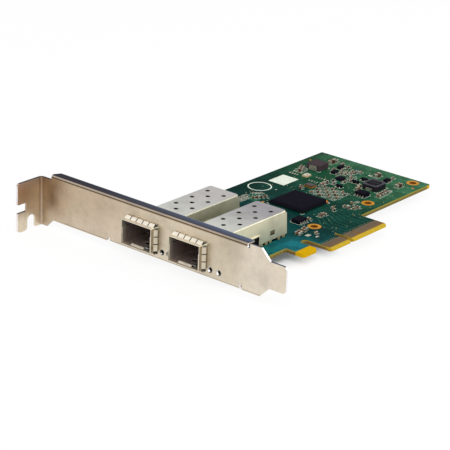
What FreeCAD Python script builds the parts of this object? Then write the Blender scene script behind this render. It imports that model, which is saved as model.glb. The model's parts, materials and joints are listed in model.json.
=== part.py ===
import FreeCAD, Part
import math
import os

# Dual port network interface card with two small pluggable transceiver cages.
# Everything is modelled in the card frame: X runs from the outer face of the
# bracket towards the tail of the board, Y points towards the screw tab (the
# edge connector faces -Y), Z rises from the board on its component side.
# The nodes are written in the row frame, whose origin is below the middle of
# the whole card. All sizes are in millimetres.

VECTOR = FreeCAD.Vector
X_AXIS = VECTOR(1, 0, 0)
Y_AXIS = VECTOR(0, 1, 0)
Z_AXIS = VECTOR(0, 0, 1)

# ---------------------------------------------------------------- bracket
SHEET = 0.86
BEND = 0.40
STRIP_WIDTH = 18.42
BRACKET_LENGTH = 120.02
TONGUE_WIDTH = 10.19
TONGUE_CHAMFER_START = 11.4
TONGUE_CORNER = 1.5
LIP_DEPTH = 3.9
LIP_START = 5.3
LIP_END = 101.5
LOWER_FLANGE_DEPTH = 3.4
LOWER_FLANGE_DROP = 0.30
LOWER_FLANGE_START = 36.0
LOWER_FLANGE_END = 98.6
RELIEF_WIDTH = 1.2
RELIEF_DEPTH = 1.7
TAB_REACH = 12.7
TAB_BEND = 0.8
TAB_TOP = 16.4
TAB_BOTTOM = -3.2
TAB_STEP = 6.3
PRONG_BOTTOM = -3.5
SCREW_SLOT_WIDTH = 4.25
SCREW_SLOT_INNER = 3.4
SCREW_SLOT_TOP = 2.3
TAB_NOTCH_BOTTOM = 4.4
TAB_NOTCH_TOP = 7.8
TAB_NOTCH_DEPTH = 4.7
EAR_LENGTH = 11.1
EAR_WIDTH = 6.6
EAR_JOGGLE = 1.2
LED_HOLE_RADIUS = 1.1
LED_HEIGHT = 3.2

# ---------------------------------------------------------------- board
BOARD_BOTTOM = 0.18
BOARD_THICKNESS = 1.57
BOARD_FRONT = 4.9
BOARD_TAIL = 134.3
BOARD_TOP_EDGE = -34.38
BOARD_LOWER_EDGE = -89.83
CONNECTOR_TIP = -102.54
CONTACT_PITCH = 1.0
CONTACT_WIDTH = 0.7
CONTACT_LENGTH = 4.3
CONTACT_SETBACK = 1.35
CONTACT_THICKNESS = 0.05
PRESENCE_SETBACK = 1.3
SKIPPED_CONTACT = 16
SHORT_COMPONENT_CONTACT = 30
SHORT_SOLDER_CONTACT = 0
SHORT_SIDE_CONTACTS = 11
LONG_SIDE_CONTACTS = 21
SECTION_MARGIN = 0.325
KEY_NOTCH_CENTRE = 62.83
KEY_NOTCH_WIDTH = 1.9
KEY_NOTCH_END = -94.07
BEVEL_LENGTH = 1.3
BEVEL_DEPTH = 0.45
HOOK_SLOT_WIDTH = 3.85
HOOK_SLOT_END = -89.4
ALIGNMENT_TAB_WIDTH = 8.3
ALIGNMENT_TAB_TIP = -98.3
PLATED_HOLE_RADIUS = 1.45
PLATED_RING_RADIUS = 2.7
PLATING = 0.05
PLATED_HOLES = ((63.1, -84.1), (98.4, -84.15), (130.5, -83.9))

# ---------------------------------------------------------------- ports
PORT_CENTRES = (-51.9, -75.0)
CAGE_SHEET = 0.25
CAGE_WIDTH = 14.5
CAGE_HEIGHT = 9.65
CAGE_TOP = 12.3
CAGE_FRONT = -3.0
CAGE_REAR = 47.5
CAGE_REAR_LEAN = 0.8
CAGE_BEND = 0.2
CAGE_SKIRT_GAP = 0.9
CAGE_STEP_X = 31.5
CAGE_STEP_Z = 6.4
CAGE_HEM = 0.5
CAGE_HEM_START = 6.0
VENT_RADIUS = 0.925
VENT_PITCH = 9.2
VENT_ROW_SPACING = 4.0
VENT_FROM_REAR = 5.5
PIN_WIDTH = 0.7
PIN_HOLE_RADIUS = 0.53
BASE_PINS_FROM_FRONT = (11.5, 21.5, 29.5)
SHELL_PINS_FROM_REAR = (11.6, 4.0)
FEET_FROM_REAR = ((16.0, 13.7), (12.4, 10.9), (9.9, 8.4), (4.7, 3.3), (2.0, 0.4))
WINDOW_FROM_REAR = 9.5
WINDOW_LENGTH = 2.8
WINDOW_BOTTOM = 4.6
WINDOW_HEIGHT = 1.8
WINDOW_GAP = 0.3
BASE_SHEET = 0.2
BASE_WALL_TOP = 9.2
BASE_SLOT_BEFORE_STEP = 0.9
BASE_SLOT_WIDTH = 0.5
PORT_OPENING_GAP = 0.9
FINGERS_ON_TOP = 5
FINGERS_ON_SIDE = 3
FINGER_SLOT = 0.4
FINGER_SHEET = 0.15
FINGER_BAND = 1.3
FINGER_RISE = 1.15
FINGER_CREST = -0.45
FINGER_TIP = 2.3
LATCH_WIDTH = 6.2
LATCH_LENGTH = 11.0
LATCH_RISE = 0.75
LATCH_GAP = 0.5
CATCH_FROM_FRONT = 5.0
CATCH_LENGTH = 2.8
CATCH_WIDTH = 3.2
HOST_FRONT = 37.6
HOST_REAR = 46.0
HOST_TOP = 8.6
HOST_CHAMFER = 2.0
HOST_CLEARANCE = 2.0
HOST_SIDE_GAP = 1.2
HOST_WALL = 0.9
HOST_SLOT = (5.2, 6.6)
HOST_LEAD = 0.15
HOST_CONTACTS = 10

# ---------------------------------------------------------------- parts on the board
SCREW_RADIUS = 1.4
SCREW_HOLE_GAP = 0.2
SCREW_HEAD_RADIUS = 2.5
SCREW_HEAD_HEIGHT = 1.7
SCREW_FROM_FRONT = 6.1
SCREW_ROWS = (-40.3, -63.4)
LED_ROWS = (-62.05, -65.2, -85.05, -89.1)
CONTROLLER_CENTRE = (78.7, -64.4)
CONTROLLER_SIZE = 17.0
BALL_PITCH = 1.0
BALL_HEIGHT = 0.3
SUBSTRATE_HEIGHT = 0.45
MOULD_CAP_HEIGHT = 0.9

# ---------------------------------------------------------------- derived values
BOARD_TOP = BOARD_BOTTOM + BOARD_THICKNESS
BEND_OUTER = BEND + SHEET
BRACKET_TIP = SHEET - BRACKET_LENGTH
TONGUE_LOW = (STRIP_WIDTH - TONGUE_WIDTH) / 2
TONGUE_HIGH = STRIP_WIDTH - TONGUE_LOW
SECTION_SHORT = (SHORT_SIDE_CONTACTS * CONTACT_PITCH) + 2 * SECTION_MARGIN
SECTION_LONG = (LONG_SIDE_CONTACTS * CONTACT_PITCH) + 2 * SECTION_MARGIN
SHORT_END = KEY_NOTCH_CENTRE - KEY_NOTCH_WIDTH / 2
SHORT_START = SHORT_END - SECTION_SHORT
LONG_START = KEY_NOTCH_CENTRE + KEY_NOTCH_WIDTH / 2
LONG_END = LONG_START + SECTION_LONG
HOOK_SLOT_START = SHORT_START - HOOK_SLOT_WIDTH
ALIGNMENT_TAB_START = HOOK_SLOT_START - ALIGNMENT_TAB_WIDTH
CAGE_FLOOR = CAGE_TOP - CAGE_HEIGHT
CAGE_SKIRT = BOARD_TOP + CAGE_SKIRT_GAP
CAGE_HALF = CAGE_WIDTH / 2
WINDOW_START = CAGE_REAR - WINDOW_FROM_REAR
WINDOW_END = WINDOW_START + WINDOW_LENGTH
FINGER_PITCH = CAGE_WIDTH / FINGERS_ON_TOP
HOST_HALF = CAGE_HALF - CAGE_SHEET - BASE_SHEET - HOST_SIDE_GAP
HOST_SLOT_HALF = HOST_HALF - HOST_WALL
HOST_PITCH = 2 * HOST_SLOT_HALF / (HOST_CONTACTS + 1.75)
FRAME_SHIFT = VECTOR(
    -(BOARD_TAIL - TAB_REACH) / 2, -(SHEET + BRACKET_TIP) / 2, -PRONG_BOTTOM
)


# ---------------------------------------------------------------- shape helpers
def box(x0, x1, y0, y1, z0, z1):
    """Block between two corners."""
    return Part.makeBox(x1 - x0, y1 - y0, z1 - z0, VECTOR(x0, y0, z0))


def post(x, y, z0, z1, radius):
    """Upright cylinder."""
    return Part.makeCylinder(radius, z1 - z0, VECTOR(x, y, z0), Z_AXIS)


def corner(before, point, after, radius):
    """Start, middle and end of the arc that rounds one corner of an outline."""
    if radius <= 0:
        return point, None, point
    back = (before - point).normalize()
    ahead = (after - point).normalize()
    half = back.getAngle(ahead) / 2
    reach = radius / math.tan(half)
    bisector = (back + ahead).normalize()
    centre = point + bisector * (radius / math.sin(half))
    return point + back * reach, centre - bisector * radius, point + ahead * reach


def outline(corners, place):
    """Closed face through (a, b, radius) corners, put in space by place(a, b)."""
    points = [VECTOR(c[0], c[1], 0) for c in corners]
    radii = [c[2] if len(c) > 2 else 0 for c in corners]
    count = len(points)
    arcs = [
        corner(points[i - 1], points[i], points[(i + 1) % count], radii[i])
        for i in range(count)
    ]
    edges = []
    for i, (start, middle, end) in enumerate(arcs):
        if middle is not None:
            edges.append(Part.Arc(*(place(v.x, v.y) for v in (start, middle, end))).toShape())
        following = arcs[(i + 1) % count][0]
        if (following - end).Length > 1e-6:
            line = Part.LineSegment(place(end.x, end.y), place(following.x, following.y))
            edges.append(line.toShape())
    return Part.Face(Part.Wire(edges))


def prism_x(corners, x0, x1):
    """Solid with a (y, z) outline between two X planes."""
    return outline(corners, lambda a, b: VECTOR(x0, a, b)).extrude(X_AXIS * (x1 - x0))


def prism_y(corners, y0, y1):
    """Solid with an (x, z) outline between two Y planes."""
    return outline(corners, lambda a, b: VECTOR(a, y0, b)).extrude(Y_AXIS * (y1 - y0))


def prism_z(corners, z0, z1):
    """Solid with an (x, y) outline between two Z planes."""
    return outline(corners, lambda a, b: VECTOR(a, b, z0)).extrude(Z_AXIS * (z1 - z0))


def strip(path, thickness, bend=None):
    """Corners of a bent sheet seen on its edge.

    The path follows one face of the sheet, whose thickness lies to the left;
    bend is the radius on the inside of each fold, which stays sharp without it.
    """
    points = [VECTOR(a, b, 0) for a, b in path]
    along = [(q - p).normalize() for p, q in zip(points, points[1:])]
    normals = [VECTOR(-d.y, d.x, 0) for d in along]
    face, back = [], []
    for i, point in enumerate(points):
        first = normals[max(i - 1, 0)]
        second = normals[min(i, len(normals) - 1)]
        offset = (first + second) * (thickness / (1 + first.dot(second)))
        turn = 0
        if 0 < i < len(points) - 1:
            turn = along[i - 1].cross(along[i]).z
        inner, outer = (bend, bend + thickness) if turn and bend is not None else (0, 0)
        face.append((point.x, point.y, outer if turn > 0 else inner))
        back.append((point.x + offset.x, point.y + offset.y, inner if turn > 0 else outer))
    return face + back[::-1]


def fused(solids):
    """One solid from touching pieces, without leftover seams."""
    first, rest = solids[0], solids[1:]
    return first.multiFuse(rest).removeSplitter() if rest else first


def turned(shape, angle, x=0.0, y=0.0):
    """Copy turned about the vertical through the origin, then moved."""
    copy = shape.copy()
    copy.rotate(VECTOR(0, 0, 0), Z_AXIS, angle)
    copy.translate(VECTOR(x, y, 0))
    return copy


def mirrored(shape):
    """Copy mirrored in the plane of zero Y."""
    return shape.mirror(VECTOR(0, 0, 0), Y_AXIS)


# ---------------------------------------------------------------- bracket
def bracket_face():
    """Flat of the bracket with tongue, notches and the step beside the tab."""
    lip_root = STRIP_WIDTH - BEND_OUTER - 0.2
    flange_root = BEND_OUTER - LOWER_FLANGE_DROP + 0.2
    relief_top = STRIP_WIDTH - RELIEF_DEPTH
    step = TAB_STEP + TAB_BOTTOM
    chamfer_start = BRACKET_TIP + TONGUE_CHAMFER_START
    corners = [
        (-TAB_BEND, TAB_BOTTOM),
        (-step, TAB_BOTTOM),
        (-TAB_STEP, 0),
        (RELIEF_WIDTH - LOWER_FLANGE_START, 0, 0.2),
        (RELIEF_WIDTH - LOWER_FLANGE_START, RELIEF_DEPTH, 0.5),
        (-LOWER_FLANGE_START, RELIEF_DEPTH, 0.5),
        (-LOWER_FLANGE_START, flange_root),
        (-LOWER_FLANGE_END, flange_root),
        (-LOWER_FLANGE_END, RELIEF_DEPTH, 0.4),
        (-LOWER_FLANGE_END - RELIEF_WIDTH, RELIEF_DEPTH, 0.4),
        (-LOWER_FLANGE_END - RELIEF_WIDTH, 0, 0.2),
        (chamfer_start, 0, 0.4),
        (chamfer_start - TONGUE_LOW, TONGUE_LOW, 0.4),
        (BRACKET_TIP, TONGUE_LOW, TONGUE_CORNER),
        (BRACKET_TIP, TONGUE_HIGH, TONGUE_CORNER),
        (chamfer_start - TONGUE_LOW, TONGUE_HIGH, 0.4),
        (chamfer_start, STRIP_WIDTH, 0.4),
        (-LIP_END - RELIEF_WIDTH, STRIP_WIDTH, 0.2),
        (-LIP_END - RELIEF_WIDTH, relief_top, 0.4),
        (-LIP_END, relief_top, 0.4),
        (-LIP_END, lip_root),
        (-LIP_START, lip_root),
        (-LIP_START, TAB_TOP),
        (-TAB_BEND, TAB_TOP),
    ]
    return prism_x(corners, 0, SHEET)


def bracket_lip():
    """Lip folded back along the upper edge, with a slanted end beside the tab."""
    path = [(LIP_DEPTH, STRIP_WIDTH), (0, STRIP_WIDTH), (0, STRIP_WIDTH - BEND_OUTER - 0.4)]
    lip = prism_y(strip(path, SHEET, BEND), -LIP_END, -LIP_START)
    slant = [
        (BEND_OUTER, 0),
        (BEND_OUTER, -LIP_START),
        (LIP_DEPTH, -LIP_START - 1.6),
        (2 * LIP_DEPTH, -LIP_START - 1.6),
        (2 * LIP_DEPTH, 0),
    ]
    return lip.cut(prism_z(slant, STRIP_WIDTH - 2 * SHEET, STRIP_WIDTH + SHEET))


def lower_flange():
    """Flange folded under the front of the board, and the two joggled ears that carry it."""
    bottom = -LOWER_FLANGE_DROP
    root = [(0, bottom + BEND_OUTER + 0.4), (0, bottom)]
    flange = prism_y(
        strip(root + [(LOWER_FLANGE_DEPTH, bottom)], SHEET, BEND), -LOWER_FLANGE_END, -LOWER_FLANGE_START
    )
    ear_bottom = BOARD_BOTTOM - SHEET
    ear_path = [
        (0.5 * LOWER_FLANGE_DEPTH, bottom),
        (LOWER_FLANGE_DEPTH, bottom),
        (LOWER_FLANGE_DEPTH + EAR_JOGGLE, ear_bottom),
        (LOWER_FLANGE_DEPTH + EAR_LENGTH, ear_bottom),
    ]
    pieces = [flange]
    for row in SCREW_ROWS:
        pieces.append(prism_y(strip(ear_path, SHEET, 0.3), row - EAR_WIDTH / 2, row + EAR_WIDTH / 2))
    return fused(pieces)


def screw_tab():
    """Tab folded outwards at the top of the bracket, with its open screw slot and side notch."""
    path = [(-2 * TAB_BEND, 0), (0, 0), (0, -2 * TAB_BEND)]
    fold = prism_z(strip(path, SHEET, TAB_BEND), TAB_BOTTOM, TAB_TOP)
    slot_outer = -SCREW_SLOT_INNER - SCREW_SLOT_WIDTH
    slot_radius = SCREW_SLOT_WIDTH / 2
    notch_x = TAB_NOTCH_DEPTH - TAB_REACH
    corners = [
        (-1.5 * TAB_BEND, TAB_BOTTOM),
        (-SCREW_SLOT_INNER, TAB_BOTTOM, 0.5),
        (-SCREW_SLOT_INNER, SCREW_SLOT_TOP, slot_radius),
        (slot_outer, SCREW_SLOT_TOP, slot_radius),
        (slot_outer, PRONG_BOTTOM, 1.6),
        (-TAB_REACH, PRONG_BOTTOM, 1.6),
        (-TAB_REACH, TAB_NOTCH_BOTTOM, 0.4),
        (notch_x, TAB_NOTCH_BOTTOM, 0.6),
        (notch_x, TAB_NOTCH_TOP, 0.6),
        (-TAB_REACH, TAB_NOTCH_TOP, 0.4),
        (-TAB_REACH, TAB_TOP - 1.0),
        (-TAB_REACH + 1.0, TAB_TOP),
        (-1.5 * TAB_BEND, TAB_TOP),
    ]
    return fused([fold, prism_y(corners, 0, SHEET)])


def mounting_bracket():
    """The whole bracket: one folded and punched sheet."""
    bracket = fused([bracket_face(), bracket_lip(), lower_flange(), screw_tab()])
    holes = []
    reach = CAGE_HALF + PORT_OPENING_GAP
    for centre in PORT_CENTRES:
        corners = [
            (centre - reach, CAGE_FLOOR - PORT_OPENING_GAP, 0.8),
            (centre + reach, CAGE_FLOOR - PORT_OPENING_GAP, 0.8),
            (centre + reach, CAGE_TOP + PORT_OPENING_GAP, 0.8),
            (centre - reach, CAGE_TOP + PORT_OPENING_GAP, 0.8),
        ]
        holes.append(prism_x(corners, -1, SHEET + 1))
    for row in LED_ROWS:
        holes.append(Part.makeCylinder(LED_HOLE_RADIUS, SHEET + 2, VECTOR(-1, row, LED_HEIGHT), X_AXIS))
    x = BOARD_FRONT + SCREW_FROM_FRONT
    for row in SCREW_ROWS:
        holes.append(post(x, row, BOARD_BOTTOM - 2 * SHEET, BOARD_BOTTOM + 1, SCREW_RADIUS))
    return bracket.cut(Part.makeCompound(holes))


def bracket_screws():
    """Pan head screws through the board into the ears of the bracket."""
    x = BOARD_FRONT + SCREW_FROM_FRONT
    profile = [
        (0, BOARD_BOTTOM - SHEET),
        (SCREW_RADIUS, BOARD_BOTTOM - SHEET),
        (SCREW_RADIUS, BOARD_TOP),
        (SCREW_HEAD_RADIUS, BOARD_TOP),
        (SCREW_HEAD_RADIUS, BOARD_TOP + SCREW_HEAD_HEIGHT - 0.6),
        (SCREW_HEAD_RADIUS - 0.7, BOARD_TOP + SCREW_HEAD_HEIGHT),
        (0, BOARD_TOP + SCREW_HEAD_HEIGHT),
    ]
    screw = outline(profile, lambda a, b: VECTOR(a, 0, b)).revolve(VECTOR(0, 0, 0), Z_AXIS, 360)
    top = BOARD_TOP + SCREW_HEAD_HEIGHT
    for across in ((1.4, 0.3), (0.3, 1.4)):
        screw = screw.cut(box(-across[0], across[0], -across[1], across[1], top - 0.9, top + 1))
    return [turned(screw, 45, x, row) for row in SCREW_ROWS]


# ---------------------------------------------------------------- board
def cage_pin_places():
    """(x, y offset) of the pins on one side of a cage: the base's first, then the upper shell's."""
    base = [(CAGE_FRONT + x, CAGE_HALF - CAGE_SHEET - BASE_SHEET / 2) for x in BASE_PINS_FROM_FRONT]
    shell = [(CAGE_REAR - x, CAGE_HALF - CAGE_SHEET / 2) for x in SHELL_PINS_FROM_REAR]
    return base, shell


def edge_sections():
    """X range of the two contact sections of the edge connector."""
    return ((SHORT_START, SHORT_END), (LONG_START, LONG_END))


def board_outline():
    """Outline of the board with its connector tongue, key notch, hook slot and alignment tab."""
    slot_radius = HOOK_SLOT_WIDTH / 2
    key_radius = KEY_NOTCH_WIDTH / 2
    return [
        (BOARD_FRONT, BOARD_TOP_EDGE, 0.5),
        (BOARD_TAIL, BOARD_TOP_EDGE, 0.5),
        (BOARD_TAIL, BOARD_LOWER_EDGE, 0.5),
        (LONG_END, BOARD_LOWER_EDGE, 0.8),
        (LONG_END, CONNECTOR_TIP, 1.0),
        (LONG_START, CONNECTOR_TIP, 0.5),
        (LONG_START, KEY_NOTCH_END, key_radius),
        (SHORT_END, KEY_NOTCH_END, key_radius),
        (SHORT_END, CONNECTOR_TIP, 0.5),
        (SHORT_START, CONNECTOR_TIP, 1.2),
        (SHORT_START, HOOK_SLOT_END, slot_radius),
        (HOOK_SLOT_START, HOOK_SLOT_END, slot_radius),
        (HOOK_SLOT_START, ALIGNMENT_TAB_TIP, 1.0),
        (ALIGNMENT_TAB_START, ALIGNMENT_TAB_TIP, 1.0),
        (ALIGNMENT_TAB_START, BOARD_LOWER_EDGE, 0.6),
        (BOARD_FRONT, BOARD_LOWER_EDGE, 0.5),
    ]


def printed_circuit_board():
    """Board with bevelled connector tip and all its drilled holes."""
    board = prism_z(board_outline(), BOARD_BOTTOM, BOARD_TOP)
    cuts = []
    for height, inward in ((BOARD_TOP, -BEVEL_DEPTH), (BOARD_BOTTOM, BEVEL_DEPTH)):
        wedge = [
            (CONNECTOR_TIP - 1, height + inward),
            (CONNECTOR_TIP, height + inward),
            (CONNECTOR_TIP + BEVEL_LENGTH, height),
            (CONNECTOR_TIP - 1, height),
        ]
        cuts.append(prism_x(wedge, ALIGNMENT_TAB_START - 1, LONG_END + 1))
    for x, y in PLATED_HOLES:
        cuts.append(post(x, y, BOARD_BOTTOM - 1, BOARD_TOP + 1, PLATED_HOLE_RADIUS + PLATING))
    screw_hole = SCREW_RADIUS + SCREW_HOLE_GAP
    for row in SCREW_ROWS:
        cuts.append(post(BOARD_FRONT + SCREW_FROM_FRONT, row, BOARD_BOTTOM - 1, BOARD_TOP + 1, screw_hole))
    for centre in PORT_CENTRES:
        for x, offset in cage_pin_places()[0] + cage_pin_places()[1]:
            for side in (-1, 1):
                cuts.append(post(x, centre + side * offset, BOARD_BOTTOM - 1, BOARD_TOP + 1, PIN_HOLE_RADIUS))
    return board.cut(Part.makeCompound(cuts))


def plated_holes():
    """Gold lined holes: a barrel with a ring on each face of the board."""
    inner, barrel, ring = PLATED_HOLE_RADIUS, PLATED_HOLE_RADIUS + PLATING, PLATED_RING_RADIUS
    low, high = BOARD_BOTTOM, BOARD_TOP
    profile = [
        (inner, low - PLATING),
        (ring, low - PLATING),
        (ring, low),
        (barrel, low),
        (barrel, high),
        (ring, high),
        (ring, high + PLATING),
        (inner, high + PLATING),
    ]
    eyelet = outline(profile, lambda a, b: VECTOR(a, 0, b)).revolve(VECTOR(0, 0, 0), Z_AXIS, 360)
    return [turned(eyelet, 0, x, y) for x, y in PLATED_HOLES]


def edge_contacts(z0, z1, short, skipped=None):
    """Row of gold contacts on one face of the edge connector, counted from the bracket.

    The contact that tells the host that a card is present is short; one place may stay bare.
    """
    tip = CONNECTOR_TIP + CONTACT_SETBACK
    end = tip + CONTACT_LENGTH
    places = []
    for section_start, section_end in edge_sections():
        count = round((section_end - section_start - 2 * SECTION_MARGIN) / CONTACT_PITCH)
        places += [section_start + SECTION_MARGIN + (i + 0.5) * CONTACT_PITCH for i in range(count)]
    contacts = []
    for i, middle in enumerate(places):
        start = tip + PRESENCE_SETBACK if i == short else tip
        if i != skipped:
            contacts.append(box(middle - CONTACT_WIDTH / 2, middle + CONTACT_WIDTH / 2, start, end, z0, z1))
    return contacts


# ---------------------------------------------------------------- cages
def cage_vents():
    """Pins that punch the staggered vent holes in the top of a cage."""
    vents = []
    for row, shift in ((-1, 0), (0, VENT_PITCH / 2), (1, 0)):
        for i in range(4):
            x = CAGE_REAR - VENT_FROM_REAR - shift - i * VENT_PITCH
            vents.append(post(x, row * VENT_ROW_SPACING, CAGE_TOP - 2, CAGE_TOP + 2, VENT_RADIUS))
    return vents


def cage_cover():
    """Folded sheet of the cover: top and two sides, and a leaning rear wall between relief notches."""
    inner = CAGE_HALF - CAGE_SHEET
    foot = CAGE_REAR + CAGE_REAR_LEAN
    arch = [
        (CAGE_HALF, CAGE_SKIRT),
        (CAGE_HALF, CAGE_TOP),
        (-CAGE_HALF, CAGE_TOP),
        (-CAGE_HALF, CAGE_SKIRT),
    ]
    cover = prism_x(strip(arch, CAGE_SHEET, CAGE_BEND), CAGE_FRONT, foot)
    behind = prism_y(
        [(CAGE_REAR, CAGE_TOP + 1), (CAGE_REAR, CAGE_TOP), (foot, CAGE_SKIRT), (foot + 1, CAGE_SKIRT),
         (foot + 1, CAGE_TOP + 1)],
        -CAGE_WIDTH,
        CAGE_WIDTH,
    )
    cover = cover.cut(behind)
    cover = cover.cut(box(CAGE_REAR - 0.55, CAGE_REAR + 1, -inner, inner, CAGE_TOP - 1.2, CAGE_TOP + 1))
    path = [(foot, CAGE_SKIRT), (CAGE_REAR, CAGE_TOP), (CAGE_REAR - 2, CAGE_TOP)]
    rear = prism_y(strip(path, CAGE_SHEET, CAGE_BEND), -inner + 0.15, inner - 0.15)
    notches = [
        box(CAGE_REAR - 0.8, CAGE_REAR + 1, y - 0.55, y + 0.55, CAGE_TOP - 0.9, CAGE_TOP + 1)
        for y in (-inner, inner)
    ]
    return fused([cover, rear]).cut(Part.makeCompound(notches))


def cage_upper_shell():
    """Cover of one cage, centred on Y = 0, with its vents, windows, hems, feet and pins."""
    inner = CAGE_HALF - CAGE_SHEET
    window_top = WINDOW_BOTTOM + WINDOW_HEIGHT
    cuts = cage_vents()
    cuts.append(box(CAGE_FRONT - 1, CAGE_STEP_X, -CAGE_WIDTH, CAGE_WIDTH, CAGE_SKIRT - 1, CAGE_STEP_Z))
    cuts.append(box(WINDOW_START, WINDOW_END, -CAGE_WIDTH, CAGE_WIDTH, WINDOW_BOTTOM, window_top))
    shell = cage_cover().cut(Part.makeCompound(cuts))
    path = [(inner, CAGE_STEP_Z + 1), (inner, CAGE_STEP_Z), (CAGE_HALF + CAGE_HEM, CAGE_STEP_Z)]
    hem = prism_x(strip(path, CAGE_SHEET, 0.1), CAGE_HEM_START, CAGE_STEP_X)
    trim = [hem, mirrored(hem)]
    for start, end in FEET_FROM_REAR:
        foot = box(CAGE_REAR - start, CAGE_REAR - end, inner, CAGE_HALF, BOARD_TOP, CAGE_SKIRT + 0.3)
        trim += [foot, mirrored(foot)]
    for x, offset in cage_pin_places()[1]:
        pin = box(x - PIN_WIDTH / 2, x + PIN_WIDTH / 2, inner, CAGE_HALF, BOARD_BOTTOM - 0.3, CAGE_SKIRT)
        trim += [pin, mirrored(pin)]
    return fused([shell] + trim)


def cage_base():
    """Lower tray of one cage, centred on Y = 0: floor with latch tongue, walls, locking tabs and pins."""
    outer = CAGE_HALF - CAGE_SHEET
    inner = outer - BASE_SHEET
    rear = CAGE_REAR - CAGE_SHEET - 1.0
    floor_top = CAGE_FLOOR + BASE_SHEET
    section = [(-outer, BASE_WALL_TOP), (-outer, CAGE_FLOOR), (outer, CAGE_FLOOR), (outer, BASE_WALL_TOP)]
    tray = prism_x(strip(section, BASE_SHEET, CAGE_BEND), CAGE_FRONT, rear)
    tongue_end = CAGE_FRONT + LATCH_LENGTH
    mouth_half = LATCH_WIDTH / 2 + LATCH_GAP
    slot = CAGE_STEP_X - BASE_SLOT_BEFORE_STEP
    cuts = [
        box(CAGE_FRONT - 1, tongue_end, -mouth_half, mouth_half, CAGE_FLOOR - 1, CAGE_FLOOR + 1),
        box(HOST_FRONT - HOST_CLEARANCE, rear + 1, -outer + 1.0, outer - 1.0, CAGE_FLOOR - 1, CAGE_FLOOR + 1),
        box(slot, slot + BASE_SLOT_WIDTH, -CAGE_WIDTH, CAGE_WIDTH, CAGE_FLOOR + 0.6, CAGE_STEP_Z - 0.5),
    ]
    tray = tray.cut(Part.makeCompound(cuts))
    path = [
        (tongue_end, floor_top),
        (tongue_end - 2.0, floor_top),
        (CAGE_FRONT + 1.2, floor_top + LATCH_RISE),
        (CAGE_FRONT + 0.4, floor_top + 0.1),
    ]
    tongue = prism_y(strip(path, BASE_SHEET, 0.1), -LATCH_WIDTH / 2, LATCH_WIDTH / 2)
    catch = CAGE_FRONT + CATCH_FROM_FRONT
    triangle = [(catch, -CATCH_WIDTH / 2), (catch, CATCH_WIDTH / 2), (catch + CATCH_LENGTH, 0)]
    tongue = tongue.cut(prism_z(triangle, CAGE_FLOOR - 1, CAGE_FLOOR + 2 * LATCH_RISE + 1))
    low, high = WINDOW_BOTTOM + 2 * WINDOW_GAP, WINDOW_BOTTOM + WINDOW_HEIGHT
    tab = prism_x(
        [(inner, low), (CAGE_HALF, low), (CAGE_HALF - 0.05, high - WINDOW_GAP), (inner, high)],
        WINDOW_START + WINDOW_GAP,
        WINDOW_END - WINDOW_GAP,
    )
    pieces = [tray, tongue, tab, mirrored(tab)]
    for x, offset in cage_pin_places()[0]:
        pin = box(x - PIN_WIDTH / 2, x + PIN_WIDTH / 2, inner, outer, BOARD_BOTTOM - 0.3, floor_top + 0.4)
        shoulder = box(x - 0.9, x + 0.9, inner, outer, BOARD_TOP, floor_top + 0.4)
        pieces += [pin, shoulder, mirrored(pin), mirrored(shoulder)]
    return fused(pieces)


def spring_finger(width):
    """One spring finger along X, rising in Z from zero height."""
    path = [
        (FINGER_TIP, 0.05),
        (SHEET, 0.45 * PORT_OPENING_GAP),
        (-0.1, 0.7 * PORT_OPENING_GAP),
        (FINGER_CREST + 0.15, FINGER_RISE - FINGER_SHEET),
        (FINGER_CREST - 0.15, FINGER_RISE - FINGER_SHEET),
        (CAGE_FRONT + FINGER_BAND, 0),
        (CAGE_FRONT + FINGER_BAND - 0.5, 0),
    ]
    path = [(x, -z) for x, z in path]
    corners = []
    for x, z, _ in strip(path, FINGER_SHEET):
        crest = -z > FINGER_RISE - 0.01
        corners.append((x, -z, 0.1 if crest else 0))
    return prism_y(corners, -width / 2, width / 2)


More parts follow.
